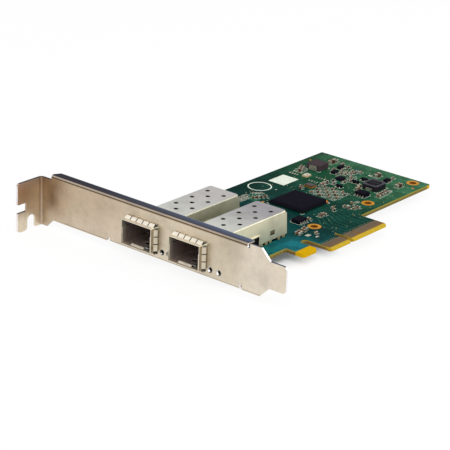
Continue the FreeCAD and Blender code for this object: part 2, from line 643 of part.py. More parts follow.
def emi_spring_collar():
    """Collar of spring fingers round the nose of one cage, centred on Y = 0."""
    rise = FINGER_SHEET
    band_end = CAGE_FRONT + FINGER_BAND
    outer = [
        (-CAGE_HALF - rise, CAGE_FLOOR - rise, CAGE_BEND + CAGE_SHEET + rise),
        (CAGE_HALF + rise, CAGE_FLOOR - rise, CAGE_BEND + CAGE_SHEET + rise),
        (CAGE_HALF + rise, CAGE_TOP + rise, CAGE_BEND + CAGE_SHEET + rise),
        (-CAGE_HALF - rise, CAGE_TOP + rise, CAGE_BEND + CAGE_SHEET + rise),
    ]
    seat = [
        (-CAGE_HALF, CAGE_FLOOR, CAGE_BEND + CAGE_SHEET),
        (CAGE_HALF, CAGE_FLOOR, CAGE_BEND + CAGE_SHEET),
        (CAGE_HALF, CAGE_TOP, CAGE_BEND + CAGE_SHEET),
        (-CAGE_HALF, CAGE_TOP, CAGE_BEND + CAGE_SHEET),
    ]
    margin = CAGE_SHEET / 2
    mouth = [
        (-CAGE_HALF + margin, CAGE_FLOOR + margin),
        (CAGE_HALF - margin, CAGE_FLOOR + margin),
        (CAGE_HALF - margin, CAGE_TOP - margin),
        (-CAGE_HALF + margin, CAGE_TOP - margin),
    ]
    band = prism_x(outer, CAGE_FRONT - rise, band_end)
    band = band.cut(prism_x(seat, CAGE_FRONT, band_end + 1))
    band = band.cut(prism_x(mouth, CAGE_FRONT - 1, CAGE_FRONT + 1))
    pieces = [band]
    finger = spring_finger(FINGER_PITCH - FINGER_SLOT)
    for i in range(FINGERS_ON_TOP):
        along = (i - (FINGERS_ON_TOP - 1) / 2) * FINGER_PITCH
        upper = finger.copy()
        upper.translate(VECTOR(0, along, CAGE_TOP))
        pieces.append(upper)
        if i in (0, FINGERS_ON_TOP - 1):
            lower = finger.mirror(VECTOR(0, 0, 0), Z_AXIS)
            lower.translate(VECTOR(0, along, CAGE_FLOOR))
            pieces.append(lower)
    for i in range(FINGERS_ON_SIDE):
        up = (i - (FINGERS_ON_SIDE - 1) / 2) * FINGER_PITCH
        side = finger.copy()
        side.rotate(VECTOR(0, 0, 0), X_AXIS, -90)
        side.translate(VECTOR(0, CAGE_HALF, CAGE_FLOOR + CAGE_HEIGHT / 2 + up))
        pieces.append(side)
        pieces.append(mirrored(side))
    return fused(pieces)


# ---------------------------------------------------------------- host connectors
def host_connector_housing():
    """Housing of the connector inside one cage, centred on Y = 0."""
    body = prism_y(
        [
            (HOST_FRONT, BOARD_TOP),
            (HOST_REAR, BOARD_TOP),
            (HOST_REAR, HOST_TOP - HOST_CHAMFER),
            (HOST_REAR - HOST_CHAMFER, HOST_TOP),
            (HOST_FRONT, HOST_TOP),
        ],
        -HOST_HALF,
        HOST_HALF,
    )
    low, high = HOST_SLOT
    slot = box(HOST_FRONT - 1, HOST_REAR + 1, -HOST_SLOT_HALF, HOST_SLOT_HALF, low, high)
    guide = prism_y(
        [
            (HOST_FRONT - 0.1, low - 0.6),
            (HOST_FRONT + 0.8, low),
            (HOST_FRONT + 0.8, high),
            (HOST_FRONT - 0.1, high + 0.6),
        ],
        -HOST_SLOT_HALF,
        HOST_SLOT_HALF,
    )
    return body.cut(slot).cut(guide)


def host_connector_contacts():
    """Twenty contacts of one host connector: ten that leave at the front and ten at the rear."""
    low, high = HOST_SLOT
    outside = HOST_REAR + HOST_LEAD
    foot = BOARD_TOP + HOST_LEAD
    front_path = [
        (HOST_FRONT - 0.9, BOARD_TOP),
        (HOST_FRONT, BOARD_TOP),
        (HOST_FRONT, low),
        (HOST_REAR - 2.0, low),
    ]
    rear_path = [
        (HOST_REAR + 0.9, foot),
        (outside, foot),
        (outside, high),
        (HOST_FRONT + 2.0, high),
    ]
    front = prism_y(strip(front_path, HOST_LEAD), -0.15, 0.15)
    rear = prism_y(strip(rear_path, HOST_LEAD), -0.15, 0.15)
    contacts = []
    for i in range(HOST_CONTACTS):
        for contact, shift in ((front, -0.2), (rear, 0.2)):
            contacts.append(turned(contact, 0, 0, (i - (HOST_CONTACTS - 1) / 2) * HOST_PITCH + shift))
    return contacts


# ---------------------------------------------------------------- status lamps
def status_led_housings():
    """Four side looking lamp bodies at the front edge of the board."""
    return [
        box(BOARD_FRONT, BOARD_FRONT + 2.2, row - 0.7, row + 0.7, BOARD_TOP, LED_HEIGHT + 0.9)
        for row in LED_ROWS
    ]


def status_led_lenses():
    """Clear lenses that face the holes of the bracket."""
    lenses = []
    for row in LED_ROWS:
        lenses.append(Part.makeCone(0.65, 0.4, 0.5, VECTOR(BOARD_FRONT, row, LED_HEIGHT), -X_AXIS))
    return lenses


# ---------------------------------------------------------------- packages
def tapered_block(lower, upper, z0, z1, x=0.0, y=0.0):
    """Moulded block between a lower and an upper (half x, half y) rectangle."""
    wires = []
    for (a, b), z in ((lower, z0), (upper, z1)):
        points = [VECTOR(x + i * a, y + j * b, z) for i, j in ((-1, -1), (1, -1), (1, 1), (-1, 1), (-1, -1))]
        wires.append(Part.makePolygon(points))
    return Part.makeLoft(wires, True, True)


def gull_wing(root, foot, height, thickness, width):
    """Lead that leaves a package at X = root, drops and ends at X = foot on the board."""
    drop = root + (foot - root) * 0.35
    path = [(root, height), (drop, height), (drop + 0.12, thickness), (foot, thickness)]
    corners = strip([(x, -z) for x, z in path], thickness)
    lead = prism_y([(x, -z) for x, z, _ in corners], -width / 2, width / 2)
    lead.translate(VECTOR(0, 0, BOARD_TOP))
    return lead


def leaded_package(length, width, height, span, pitch, count_left, count_right, lead_width):
    """Body and leads of a small-outline chip whose rows of leads run along Y."""
    lead_height = height * 0.5
    lift = 0.1
    split = BOARD_TOP + lead_height
    a, b = width / 2, length / 2
    body = fused([
        tapered_block((a - 0.12, b - 0.12), (a, b), BOARD_TOP + lift, split),
        tapered_block((a, b), (a - 0.15, b - 0.15), split, BOARD_TOP + height),
    ])
    lead = gull_wing(a, span / 2, lead_height, 0.15, lead_width)
    leads = []
    for side, count in ((0, count_right), (180, count_left)):
        step = pitch if count != 2 else 2 * pitch
        for i in range(count):
            leads.append(turned(turned(lead, 0, 0, (i - (count - 1) / 2) * step), side))
    return body, leads


def chip_part(length, width, height, terminal):
    """Two-terminal chip along X: its body and its two end caps."""
    grip = 0.04
    body = box(-length / 2 + terminal, length / 2 - terminal, -width / 2 + grip, width / 2 - grip,
               BOARD_TOP + grip, BOARD_TOP + height - grip)
    caps = [
        box(-length / 2, -length / 2 + terminal, -width / 2, width / 2, BOARD_TOP, BOARD_TOP + height),
        box(length / 2 - terminal, length / 2, -width / 2, width / 2, BOARD_TOP, BOARD_TOP + height),
    ]
    return body, caps


def spread(parts, places):
    """Bodies and terminals of chips set at (x, y, angle) places."""
    body, caps = parts
    bodies = [turned(body, angle, x, y) for x, y, angle in places]
    terminals = [turned(cap, angle, x, y) for x, y, angle in places for cap in caps]
    return bodies, terminals


def controller():
    """Ball grid package: substrate, mould cap and the visible outer ring of balls."""
    x, y = CONTROLLER_CENTRE
    half = CONTROLLER_SIZE / 2
    low = BOARD_TOP + BALL_HEIGHT
    top = low + SUBSTRATE_HEIGHT
    shoulder = top + 0.7 * MOULD_CAP_HEIGHT
    crown = top + MOULD_CAP_HEIGHT
    substrate = box(x - half, x + half, y - half, y + half, low, top)
    cap = fused([
        tapered_block((half - 0.25, half - 0.25), (half - 0.6, half - 0.6), top, shoulder, x, y),
        tapered_block((half - 0.6, half - 0.6), (half - 1.3, half - 1.3), shoulder, crown, x, y),
    ])
    angles = [math.pi * (2 * i + 1) / 8 for i in range(8)]
    ball = prism_z([(0.27 * math.cos(angle), 0.27 * math.sin(angle)) for angle in angles], BOARD_TOP, low)
    balls = []
    reach = round(CONTROLLER_SIZE / BALL_PITCH) - 2
    for i in range(reach + 1):
        for j in range(reach + 1):
            if i in (0, reach) or j in (0, reach):
                bx = x + (i - reach / 2) * BALL_PITCH
                by = y + (j - reach / 2) * BALL_PITCH
                balls.append(turned(ball, 0, bx, by))
    return substrate, cap, balls


def moulded_inductor(x, y, size, height):
    """Pressed inductor: core with chamfered edges and two strip terminals on its X faces."""
    half = size / 2
    low = BOARD_TOP + 0.12
    bevel = 0.35
    core = fused([
        box(x - half, x + half, y - half, y + half, low, BOARD_TOP + height - bevel),
        tapered_block((half, half), (half - bevel, half - bevel), BOARD_TOP + height - bevel,
                      BOARD_TOP + height, x, y),
    ])
    terminals = []
    for side in (-1, 1):
        path = [
            (half - 1.4, BOARD_TOP),
            (half + 0.12, BOARD_TOP),
            (half + 0.12, BOARD_TOP + 0.8 * height),
        ]
        clip = prism_y(strip(path, 0.12), -size * 0.3, size * 0.3)
        terminals.append(turned(clip, 0 if side > 0 else 180, x, y))
    return core, terminals


def shielded_inductor(x, y, size, height):
    """Wound inductor: square ferrite shield with cut corners, round drum on top, two terminals."""
    half = size / 2
    low = BOARD_TOP + 0.15
    cut = 0.9
    corners = [
        (x - half + cut, y - half), (x + half - cut, y - half), (x + half, y - half + cut),
        (x + half, y + half - cut), (x + half - cut, y + half), (x - half + cut, y + half),
        (x - half, y + half - cut), (x - half, y - half + cut),
    ]
    shield = prism_z(corners, low, BOARD_TOP + height)
    groove = post(x, y, BOARD_TOP + height - 0.35, BOARD_TOP + height + 1, half - 0.75)
    drum = post(x, y, BOARD_TOP + height - 0.5, BOARD_TOP + height + 0.15, half - 1.25)
    core = fused([shield.cut(groove), drum])
    terminals = []
    for side in (0, 180):
        path = [(half - 1.6, BOARD_TOP), (half + 0.15, BOARD_TOP), (half + 0.15, BOARD_TOP + 1.2)]
        clip = prism_y(strip(path, 0.15), -size * 0.2, size * 0.2)
        terminals.append(turned(clip, side, x, y))
    return core, terminals


def crystals():
    """Bases and metal lids of the clock crystal and of the smaller oscillator."""
    bases, lids = [], []
    for x, y, length, width, height in CRYSTAL_PLACES:
        a, b = length / 2, width / 2
        bases.append(box(x - a, x + a, y - b, y + b, BOARD_TOP, BOARD_TOP + height))
        lids.append(box(x - a + 0.3, x + a - 0.3, y - b + 0.3, y + b - 0.3,
                        BOARD_TOP + height, BOARD_TOP + height + 0.3))
    return bases, lids


def leadless_regulator(x, y, size):
    """Flat leadless chip and the two rows of pads under its edges."""
    half = size / 2
    body = box(x - half, x + half, y - half, y + half, BOARD_TOP + 0.08, BOARD_TOP + 0.9)
    pads = []
    for i in range(5):
        for side in (-1, 1):
            px = x + (i - 2) * 0.6
            y0, y1 = sorted((y + side * (half - 0.3), y + side * (half + 0.15)))
            pads.append(box(px - 0.15, px + 0.15, y0, y1, BOARD_TOP, BOARD_TOP + 0.08))
    return body, pads


# (x, y, angle) of each package; the rows of leads run along Y at angle 0
SMALL_OUTLINE_PLACES = ((103.9, -77.4, 0), (62.8, -77.0, 90))
TRANSISTOR_PLACES = ((113.5, -67.1, 0), (118.4, -68.0, 0), (104.7, -65.2, 0))
REGULATOR_PLACES = ((123.3, -52.4, 90), (117.0, -54.0, 90), (124.2, -75.4, 90))
LARGE_CAPACITOR_PLACES = ((126.2, -69.2, 0), (122.4, -82.4, 0), (126.0, -45.8, 0))
# (x, y, size along X, size along Y, height of the base)
CRYSTAL_PLACES = ((97.1, -56.3, 3.3, 4.2, 0.55), (105.6, -48.0, 3.2, 2.5, 0.6))


def in_a_row(x, y, step_x, step_y, count, angle):
    """Places of equal chips in a straight row."""
    return [(x + i * step_x, y + i * step_y, angle) for i in range(count)]


def chip_grid():
    """Places of the crowded block of chips between the controller and the supply."""
    cells = [(91.6 + 2.2 * i, -60.8 - 2.3 * j, i + j) for i in range(5) for j in range(6)]
    capacitors = [(x, y, 90 * (order % 4 // 2)) for x, y, order in cells if order % 2 == 0]
    resistors = [(x, y, 90 * (order % 4 // 2)) for x, y, order in cells if order % 2]
    return capacitors, resistors


def medium_capacitor_places():
    """Medium capacitors: rows at both ends of the lower edge, one by the upper edge and single ones."""
    places = in_a_row(107.1, -83.3, 2.05, 0.2, 4, 90) + in_a_row(108.5, -42.6, 1.75, 0.9, 3, 90)
    places += in_a_row(51.8, -84.8, 1.8, 0.4, 2, 90) + in_a_row(56.2, -84.2, 1.8, 0.5, 2, 90)
    places += [(101.9, -58.8, 0), (104.4, -58.9, 0), (108.0, -72.1, 0), (110.4, -71.2, 0)]
    places += [(128.7, -45.9, 90), (126.3, -50.9, 0), (73.5, -79.3, 0)]
    return places


def small_capacitor_places():
    """Small capacitors: the supply cluster, the block beside the controller and scattered ones."""
    places = in_a_row(113.4, -64.6, 1.75, 1.15, 4, 0) + in_a_row(70.2, -48.4, 1.4, -1.0, 4, 90)
    places += chip_grid()[0]
    places += [(120.2, -59.6, 0), (122.4, -60.2, 0), (124.6, -61.6, 0), (118.5, -58.0, 0), (120.9, -57.2, 0)]
    places += [(123.5, -58.2, 0), (118.0, -56.6, 0), (119.6, -51.3, 0), (120.8, -54.9, 0), (126.0, -54.3, 0)]
    places += [(108.8, -59.6, 90), (110.4, -63.6, 0), (106.2, -61.3, 0), (128.4, -75.2, 0)]
    places += [(88.0, -80.0, 0), (88.2, -82.0, 0), (93.2, -80.2, 90), (89.1, -84.0, 0), (91.3, -84.6, 90)]
    places += [(92.2, -55.2, 90), (94.0, -54.2, 90), (67.4, -78.3, 90), (75.9, -79.6, 90), (81.7, -79.6, 0)]
    places += [(83.7, -77.6, 0), (57.7, -89.0, 0)]
    return places


def small_resistor_places():
    """Small resistors: two rows by the upper edge, the block beside the controller and single ones."""
    places = in_a_row(64.0, -44.4, 1.7, 0, 5, 90) + in_a_row(64.0, -46.5, 1.3, 0, 5, 90)
    places += in_a_row(74.2, -45.0, 1.3, -1.1, 3, 90) + chip_grid()[1]
    places += [(115.5, -82.9, 90), (115.0, -57.4, 90), (96.0, -80.6, 0), (125.6, -59.4, 90)]
    return places


def underside(solids):
    """Copies of chips moved from the component side to the solder side."""
    middle = (BOARD_TOP + BOARD_BOTTOM) / 2
    return [solid.mirror(VECTOR(0, 0, middle), Z_AXIS) for solid in solids]


def decoupling_places():
    """Grid of small capacitors under the controller."""
    x, y = CONTROLLER_CENTRE
    return [(x + (i - 1.5) * 3.0, y + (j - 1) * 4.0, 0) for i in range(4) for j in range(3)]


# ---------------------------------------------------------------- nodes
def port_nodes():
    """Solids of each port, by node name."""
    makers = {
        "cage_upper_shell": lambda: [cage_upper_shell()],
        "cage_base": lambda: [cage_base()],
        "emi_spring_collar": lambda: [emi_spring_collar()],
        "host_connector_housing": lambda: [host_connector_housing()],
        "host_connector_contacts": host_connector_contacts,
    }
    nodes = {}
    for name, make in makers.items():
        solids = make()
        for port, centre in enumerate(PORT_CENTRES, start=1):
            nodes[f"{name}_{port}"] = [turned(solid, 0, 0, centre) for solid in solids]
    return nodes


def package_nodes():
    """Solids of the soldered parts, by node name."""
    nodes = {}
    substrate, cap, balls = controller()
    nodes["controller_substrate"] = [substrate]
    nodes["controller_mould_cap"] = [cap]
    nodes["controller_solder_balls"] = balls
    families = {
        "small_outline_chip": (leaded_package(4.9, 3.9, 1.6, 6.0, 1.27, 4, 4, 0.42), SMALL_OUTLINE_PLACES),
        "transistor": (leaded_package(2.9, 1.5, 1.1, 2.6, 0.95, 2, 1, 0.4), TRANSISTOR_PLACES),
        "regulator": (leaded_package(3.0, 2.2, 1.1, 3.4, 0.95, 3, 3, 0.35), REGULATOR_PLACES),
    }
    for name, ((body, leads), places) in families.items():
        nodes[f"{name}_bodies"] = [turned(body, angle, x, y) for x, y, angle in places]
        nodes[f"{name}_leads"] = [turned(lead, angle, x, y) for x, y, angle in places for lead in leads]
    core, terminals = moulded_inductor(116.6, -45.3, 6.5, 2.6)
    nodes["moulded_inductor_core"] = core
    nodes["moulded_inductor_terminals"] = terminals
    core, terminals = shielded_inductor(114.0, -76.0, 7.4, 2.4)
    nodes["shielded_inductor_core"] = core
    nodes["shielded_inductor_terminals"] = terminals
    nodes["crystal_base"], nodes["crystal_lid"] = crystals()
    body, pads = leadless_regulator(112.5, -60.3, 3.2)
    nodes["leadless_regulator_body"] = body
    nodes["leadless_regulator_pads"] = pads
    chips = {
        "large_capacitor": (chip_part(3.2, 1.9, 1.35, 0.5), LARGE_CAPACITOR_PLACES),
        "medium_capacitor": (chip_part(2.0, 1.25, 1.1, 0.4), medium_capacitor_places()),
        "small_capacitor": (chip_part(1.5, 0.8, 0.8, 0.3), small_capacitor_places()),
        "small_resistor": (chip_part(1.1, 0.55, 0.4, 0.25), small_resistor_places()),
        "decoupling_capacitor": (chip_part(1.1, 0.55, 0.55, 0.25), decoupling_places()),
    }
    for name, (parts, places) in chips.items():
        bodies, terminals = spread(parts, places)
        if name == "decoupling_capacitor":
            bodies, terminals = underside(bodies), underside(terminals)
        nodes[f"{name}_bodies"] = bodies
        nodes[f"{name}_terminals"] = terminals
    return nodes


def all_nodes():
    """Every node of the card, by name."""
    nodes = {
        "printed_circuit_board": [printed_circuit_board()],
        "plated_holes": plated_holes(),
        "component_side_contacts": edge_contacts(
            BOARD_TOP, BOARD_TOP + CONTACT_THICKNESS, SHORT_COMPONENT_CONTACT, SKIPPED_CONTACT
        ),
        "solder_side_contacts": edge_contacts(
            BOARD_BOTTOM - CONTACT_THICKNESS, BOARD_BOTTOM, SHORT_SOLDER_CONTACT
        ),
        "mounting_bracket": [mounting_bracket()],
        "bracket_screws": bracket_screws(),
        "status_led_housings": status_led_housings(),
        "status_led_lenses": status_led_lenses(),
    }
    nodes.update(port_nodes())
    nodes.update(package_nodes())
    return nodes


def write(name, solids):
    """Write one node as a STEP file in the row frame."""
    solids = solids if isinstance(solids, list) else [solids]
    pieces = [piece for solid in solids for piece in solid.Solids]
    shape = pieces[0].copy() if len(pieces) == 1 else Part.makeCompound(pieces)
    shape.translate(FRAME_SHIFT)
    shape.exportStep(f"parts/{name}.step")
    print(f"{name}: {len(pieces)} solid(s), {shape.Volume:.1f} mm3, valid {shape.isValid()}")


os.makedirs("parts", exist_ok=True)
for node_name, node_solids in all_nodes().items():
    write(node_name, node_solids)
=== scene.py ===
import json
import math
import random

import bpy
from mathutils import Matrix, Vector


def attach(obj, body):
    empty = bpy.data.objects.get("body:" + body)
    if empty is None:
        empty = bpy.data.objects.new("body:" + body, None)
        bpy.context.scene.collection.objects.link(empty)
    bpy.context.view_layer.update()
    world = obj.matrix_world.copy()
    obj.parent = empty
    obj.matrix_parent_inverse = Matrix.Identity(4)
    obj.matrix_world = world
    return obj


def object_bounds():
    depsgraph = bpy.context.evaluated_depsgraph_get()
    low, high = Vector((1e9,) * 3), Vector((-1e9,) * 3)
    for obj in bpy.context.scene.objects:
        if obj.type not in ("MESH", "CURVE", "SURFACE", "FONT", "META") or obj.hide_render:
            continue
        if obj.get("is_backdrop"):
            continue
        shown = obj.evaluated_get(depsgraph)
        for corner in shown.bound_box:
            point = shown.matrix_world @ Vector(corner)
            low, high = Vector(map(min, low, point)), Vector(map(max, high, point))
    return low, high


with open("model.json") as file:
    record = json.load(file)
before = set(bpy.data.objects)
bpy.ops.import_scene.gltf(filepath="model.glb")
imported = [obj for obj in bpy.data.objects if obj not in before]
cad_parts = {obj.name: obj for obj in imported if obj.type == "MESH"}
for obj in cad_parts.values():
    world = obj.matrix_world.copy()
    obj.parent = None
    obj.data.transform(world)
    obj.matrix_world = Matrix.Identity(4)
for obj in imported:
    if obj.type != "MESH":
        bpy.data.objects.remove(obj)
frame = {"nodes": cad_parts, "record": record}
cad_low, cad_high = (list(corner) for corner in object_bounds())

# ---------------------------------------------------------------- places on the card
# In millimetres. x starts at the bracket's outer face and goes to the tail, y at the screw tab's face towards
# the board, so that the board has negative y, and z at the lower edge of the bracket's strip. The screw tab
# fixes the shift, because its outer edge, far face and prong lie on three sides of the frame's box.
MM = 0.001
TAB_REACH, BRACKET_SHEET, PRONG_DROP = 12.7, 0.86, 3.5
SHIFT = Vector((cad_low[0] / MM + TAB_REACH, cad_high[1] / MM - BRACKET_SHEET, cad_low[2] / MM + PRONG_DROP))


def at(x, y, z):
    """Point of the frame, in metres, from a place on the card."""
    return (Vector((x, y, z)) + SHIFT) * MM


def corners(points):
    """Lowest and highest corner of the box round some points."""
    return [Vector([edge(point[axis] for point in points) for axis in range(3)]) for edge in (min, max)]


def box_of(name):
    """Lowest and highest corner of a CAD node."""
    return corners([vertex.co / MM - SHIFT for vertex in frame["nodes"][name].data.vertices])


def solids_of(name):
    """Lowest and highest corner of each separate solid of a CAD node."""
    mesh = frame["nodes"][name].data
    places = {}
    index = [places.setdefault(tuple(round(c, 6) for c in v.co), len(places)) for v in mesh.vertices]
    parent = list(range(len(places)))

    def root(i):
        while parent[i] != i:
            parent[i] = parent[parent[i]]
            i = parent[i]
        return i

    for edge in mesh.edges:
        parent[root(index[edge.vertices[0]])] = root(index[edge.vertices[1]])
    groups = {}
    for place, i in places.items():
        groups.setdefault(root(i), []).append(Vector(place) / MM - SHIFT)
    return [corners(points) for points in groups.values()]


BOARD_LOW, BOARD_HIGH = box_of("printed_circuit_board")
FRONT, TAIL, TOP, UNDER = BOARD_LOW.x, BOARD_HIGH.x, BOARD_HIGH.z, BOARD_LOW.z
LIP_TOP = box_of("mounting_bracket")[1].z
LIP_END = -101.6
# The mask ends at this y on the tongue, whose left side is at this x. The alignment tab is left of it.
MASK_END, TONGUE_SIDE = -97.0, 49.0
ALIGNMENT_TAB_SIDE, ALIGNMENT_TAB_ROOT = 47.2, -94.0
# The skin is what of a cage's sheet counts as its outside. The rear walls lean forward from this x at z = 0.
CAGE_BASES = [box_of("cage_base_1"), box_of("cage_base_2")]
CAGE_CENTRES = [(low.y + high.y) / 2 for low, high in CAGE_BASES]
CAGE_HALF = (CAGE_BASES[0][1].y - CAGE_BASES[0][0].y) / 2
CAGE_NOSE = CAGE_BASES[0][0].x
CAGE_TOP = box_of("cage_upper_shell_1")[1].z
CAGE_SKIN = 0.13
REAR_LEAN, REAR_FOOT = 0.0834, 48.4


# ---------------------------------------------------------------- node trees
def srgb(red, green, blue):
    """Linear colour of a screen colour from 0 to 255."""
    shares = (red / 255, green / 255, blue / 255)
    return tuple(share / 12.92 if share < 0.0405 else ((share + 0.055) / 1.055) ** 2.4 for share in shares)


class Nodes:
    """Short ways to add nodes to one tree; a value is a socket, a number or a colour."""

    def __init__(self, tree):
        self.tree = tree

    def put(self, owner, key, value):
        """Link or set one input of a node."""
        socket = owner.inputs[key]
        if isinstance(value, bpy.types.NodeSocket):
            self.tree.links.new(value, socket)
        elif socket.type == "RGBA":
            socket.default_value = (*value, 1.0)
        else:
            socket.default_value = value

    def add(self, kind, inputs=None, **settings):
        """New node with its settings and inputs."""
        made = self.tree.nodes.new(kind)
        for name, value in settings.items():
            setattr(made, name, value)
        for key, value in (inputs or {}).items():
            self.put(made, key, value)
        return made

    def maths(self, operation, *values):
        """Math node."""
        return self.add("ShaderNodeMath", dict(enumerate(values)), operation=operation).outputs["Value"]

    def both(self, first, second):
        """Product."""
        return self.maths("MULTIPLY", first, second)

    def either(self, first, second):
        """Larger of two."""
        return self.maths("MAXIMUM", first, second)

    def over(self, value, limit):
        """1 above a limit."""
        return self.maths("GREATER_THAN", value, limit)

    def under(self, value, limit):
        """1 below a limit."""
        return self.maths("LESS_THAN", value, limit)

    def away(self, value, middle):
        """Distance from a middle."""
        return self.maths("ABSOLUTE", self.maths("SUBTRACT", value, middle))

    def spread(self, factor, low, high):
        """Goes from low to high while the factor goes from 0 to 1."""
        inputs = {"Value": factor, "To Min": low, "To Max": high}
        return self.add("ShaderNodeMapRange", inputs).outputs["Result"]

    def between(self, value, start, end):
        """Goes from 0 to 1 while the value goes from start to end."""
        inputs = {"Value": value, "From Min": start, "From Max": end}
        return self.add("ShaderNodeMapRange", inputs).outputs["Result"]

    def inside(self, value, low, high, blur):
        """1 between low and high, 0 outside, with soft ends."""
        rise = self.between(value, low - blur, low + blur)
        return self.both(rise, self.between(value, high + blur, high - blur))

    def mixed(self, factor, first, second, blend="MIX"):
        """Mix of two colours."""
        inputs = {0: factor, 6: first, 7: second}
        return self.add("ShaderNodeMix", inputs, data_type="RGBA", blend_type=blend).outputs[2]

    def times(self, colour, shade):
        """Colour multiplied by a shade."""
        return self.mixed(1.0, colour, shade, "MULTIPLY")

    def ramp(self, factor, stops):
        """Colour ramp over a factor; each stop is a position and a colour or a grey."""
        made = self.add("ShaderNodeValToRGB", {"Fac": factor})
        elements = made.color_ramp.elements
        while len(elements) < len(stops):
            elements.new(0.5)
        for element, (position, colour) in zip(elements, stops):
            element.position = position
            element.color = (*colour, 1.0) if isinstance(colour, tuple) else (colour, colour, colour, 1.0)
        return made.outputs["Color"]

    def seen_directly(self):
        """1 for camera, glossy and transmission rays."""
        rays = self.add("ShaderNodeLightPath").outputs
        seen_or_mirrored = self.either(rays["Is Camera Ray"], rays["Is Glossy Ray"])
        return self.either(seen_or_mirrored, rays["Is Transmission Ray"])


class Surface(Nodes):
    """Material with one shader, whose looks go by the place on the card, in millimetres."""

    def __init__(self, name):
        self.material = bpy.data.materials.new(name)
        self.material.use_nodes = True
        super().__init__(self.material.node_tree)
        self.tree.nodes.clear()
        self.shader = self.add("ShaderNodeBsdfPrincipled")
        self.output = self.add("ShaderNodeOutputMaterial", {"Surface": self.shader.outputs["BSDF"]})
        self.place = self.stretched((1 / MM, 1 / MM, 1 / MM), -SHIFT)
        self.x, self.y, self.z = self.add("ShaderNodeSeparateXYZ", {"Vector": self.place}).outputs

    def stretched(self, scale, location=(0, 0, 0)):
        """Object coordinates, scaled and moved."""
        source = self.add("ShaderNodeTexCoord").outputs["Object"]
        inputs = {"Vector": source, "Scale": scale, "Location": location}
        return self.add("ShaderNodeMapping", inputs).outputs["Vector"]

    def facing(self):
        """Outward direction of the surface as x, y and z."""
        normal = self.add("ShaderNodeNewGeometry").outputs["Normal"]
        return self.add("ShaderNodeSeparateXYZ", {"Vector": normal}).outputs

    def noise(self, scale, detail=3.0, roughness=0.5, vector=None):
        """Noise over the place on the card or over another vector."""
        vector = self.place if vector is None else vector
        inputs = {"Vector": vector, "Scale": scale, "Detail": detail, "Roughness": roughness}
        return self.add("ShaderNodeTexNoise", inputs).outputs["Fac"]

    def zone(self, x=None, y=None, z=None, share=1.0):
        """Goes from 0 to the share while each coordinate given goes from its first to its second value."""
        factor = share
        for value, span in ((self.x, x), (self.y, y), (self.z, z)):
            if span:
                factor = self.both(self.between(value, *span), factor)
        return factor

    def tint(self, colour, other, **zone):
        """Colour that turns into another one across a zone."""
        return self.mixed(self.zone(**zone), colour, other)

    def speckled(self, colour, scale, amount):
        """Colour with a soft lighter and darker mottling."""
        shade = self.ramp(self.noise(scale, 3.0, 0.6), [(0.30, 1 - amount), (0.50, 1.0), (0.70, 1 + amount)])
        return self.times(colour, shade)

    def clouded(self, colour, scale, detail, roughness, stops):
        """Colour multiplied by the greys of a ramp over noise."""
        return self.times(colour, self.ramp(self.noise(scale, detail, roughness), stops))

    def bump(self, height, strength, depth):
        """Fine relief with its depth in millimetres."""
        inputs = {"Height": height, "Strength": strength, "Distance": depth * MM}
        self.put(self.shader, "Normal", self.add("ShaderNodeBump", inputs).outputs["Normal"])

    def finish(self, colour, grain, smooth, rough, metallic=0.0, level=0.5, detail=3.0):
        """The material, with its colour, a roughness that wanders at the scale of a grain, and its gloss."""
        self.put(self.shader, "Base Color", colour)
        self.put(self.shader, "Roughness", self.spread(self.noise(grain, detail), smooth, rough))
        self.put(self.shader, "Metallic", metallic)
        self.put(self.shader, "Specular IOR Level", level)
        return self.material


# ---------------------------------------------------------------- marks that several materials share
CONTROLLER_LOW, CONTROLLER_HIGH = box_of("controller_substrate")
PIN_MARK_SIDE = 1.4
PIN_MARK_COLOUR = srgb(186, 112, 52)
PIN_MARK_REACH = 0.4
MOUTH_DEPTHS = (12, 20)


def inside_cages(look):
    """1 well inside the two cages, 0 on their outer faces and at their mouths."""
    offset = look.maths("MINIMUM", *(look.away(look.y, centre) for centre in CAGE_CENTRES))
    leaning = look.maths("ADD", look.x, look.both(look.z, REAR_LEAN))
    limits = ((offset, CAGE_HALF - CAGE_SKIN), (look.z, CAGE_TOP - CAGE_SKIN), (leaning, REAR_FOOT))
    factor = look.zone(x=(CAGE_NOSE + 0.05, CAGE_NOSE + 2.4))
    for value, limit in limits:
        factor = look.both(factor, look.under(value, limit))
    return factor


def shaded_inside(look, colour, near, deep):
    """Colour with the inside of the cages in shade, near black behind the mouths."""
    return look.mixed(inside_cages(look), colour, look.tint(near, deep, x=MOUTH_DEPTHS))


def pin_marked(look, colour):
    """Colour with the orange corner of the controller next to its first ball."""
    right, lower = CONTROLLER_HIGH.x, CONTROLLER_LOW.y
    slant = look.over(look.maths("SUBTRACT", look.x, look.y), right - lower - PIN_MARK_SIDE)
    near = look.both(look.under(look.x, right + PIN_MARK_REACH), look.over(look.y, lower - PIN_MARK_REACH))
    return look.mixed(look.both(slant, near), colour, PIN_MARK_COLOUR)


# ---------------------------------------------------------------- materials of the card
def mask_green(look):
    """Green of the mask, with copper areas showing through; its change from teal by the slot to lighter
    towards the tail is painted light.
    """
    # Painted light: the ramp along the board, from teal by the slot to a lighter green towards the tail.
    green = look.ramp(look.zone(x=(48, 134)), [
        (0.0, srgb(12, 64, 64)), (0.2, srgb(7, 48, 45)), (0.45, srgb(12, 54, 45)), (0.75, srgb(30, 76, 52)),
        (1.0, srgb(52, 94, 68)),
    ])
    green = look.tint(green, srgb(2, 26, 22), y=(-46, -36), share=0.4)
    green = look.tint(green, srgb(22, 96, 104), x=(53, 45), y=(-78, -88))
    green = look.tint(green, srgb(20, 76, 62), x=(40, 24))
    green = look.tint(green, srgb(58, 106, 78), x=(84, 118), y=(-72, -88), share=0.6)
    green = look.clouded(green, 0.16, 4.0, 0.65, [(0.47, 0.80), (0.53, 1.16)])
    return look.clouded(green, 1.1, 2.0, 0.5, [(0.40, 0.94), (0.60, 1.05)])


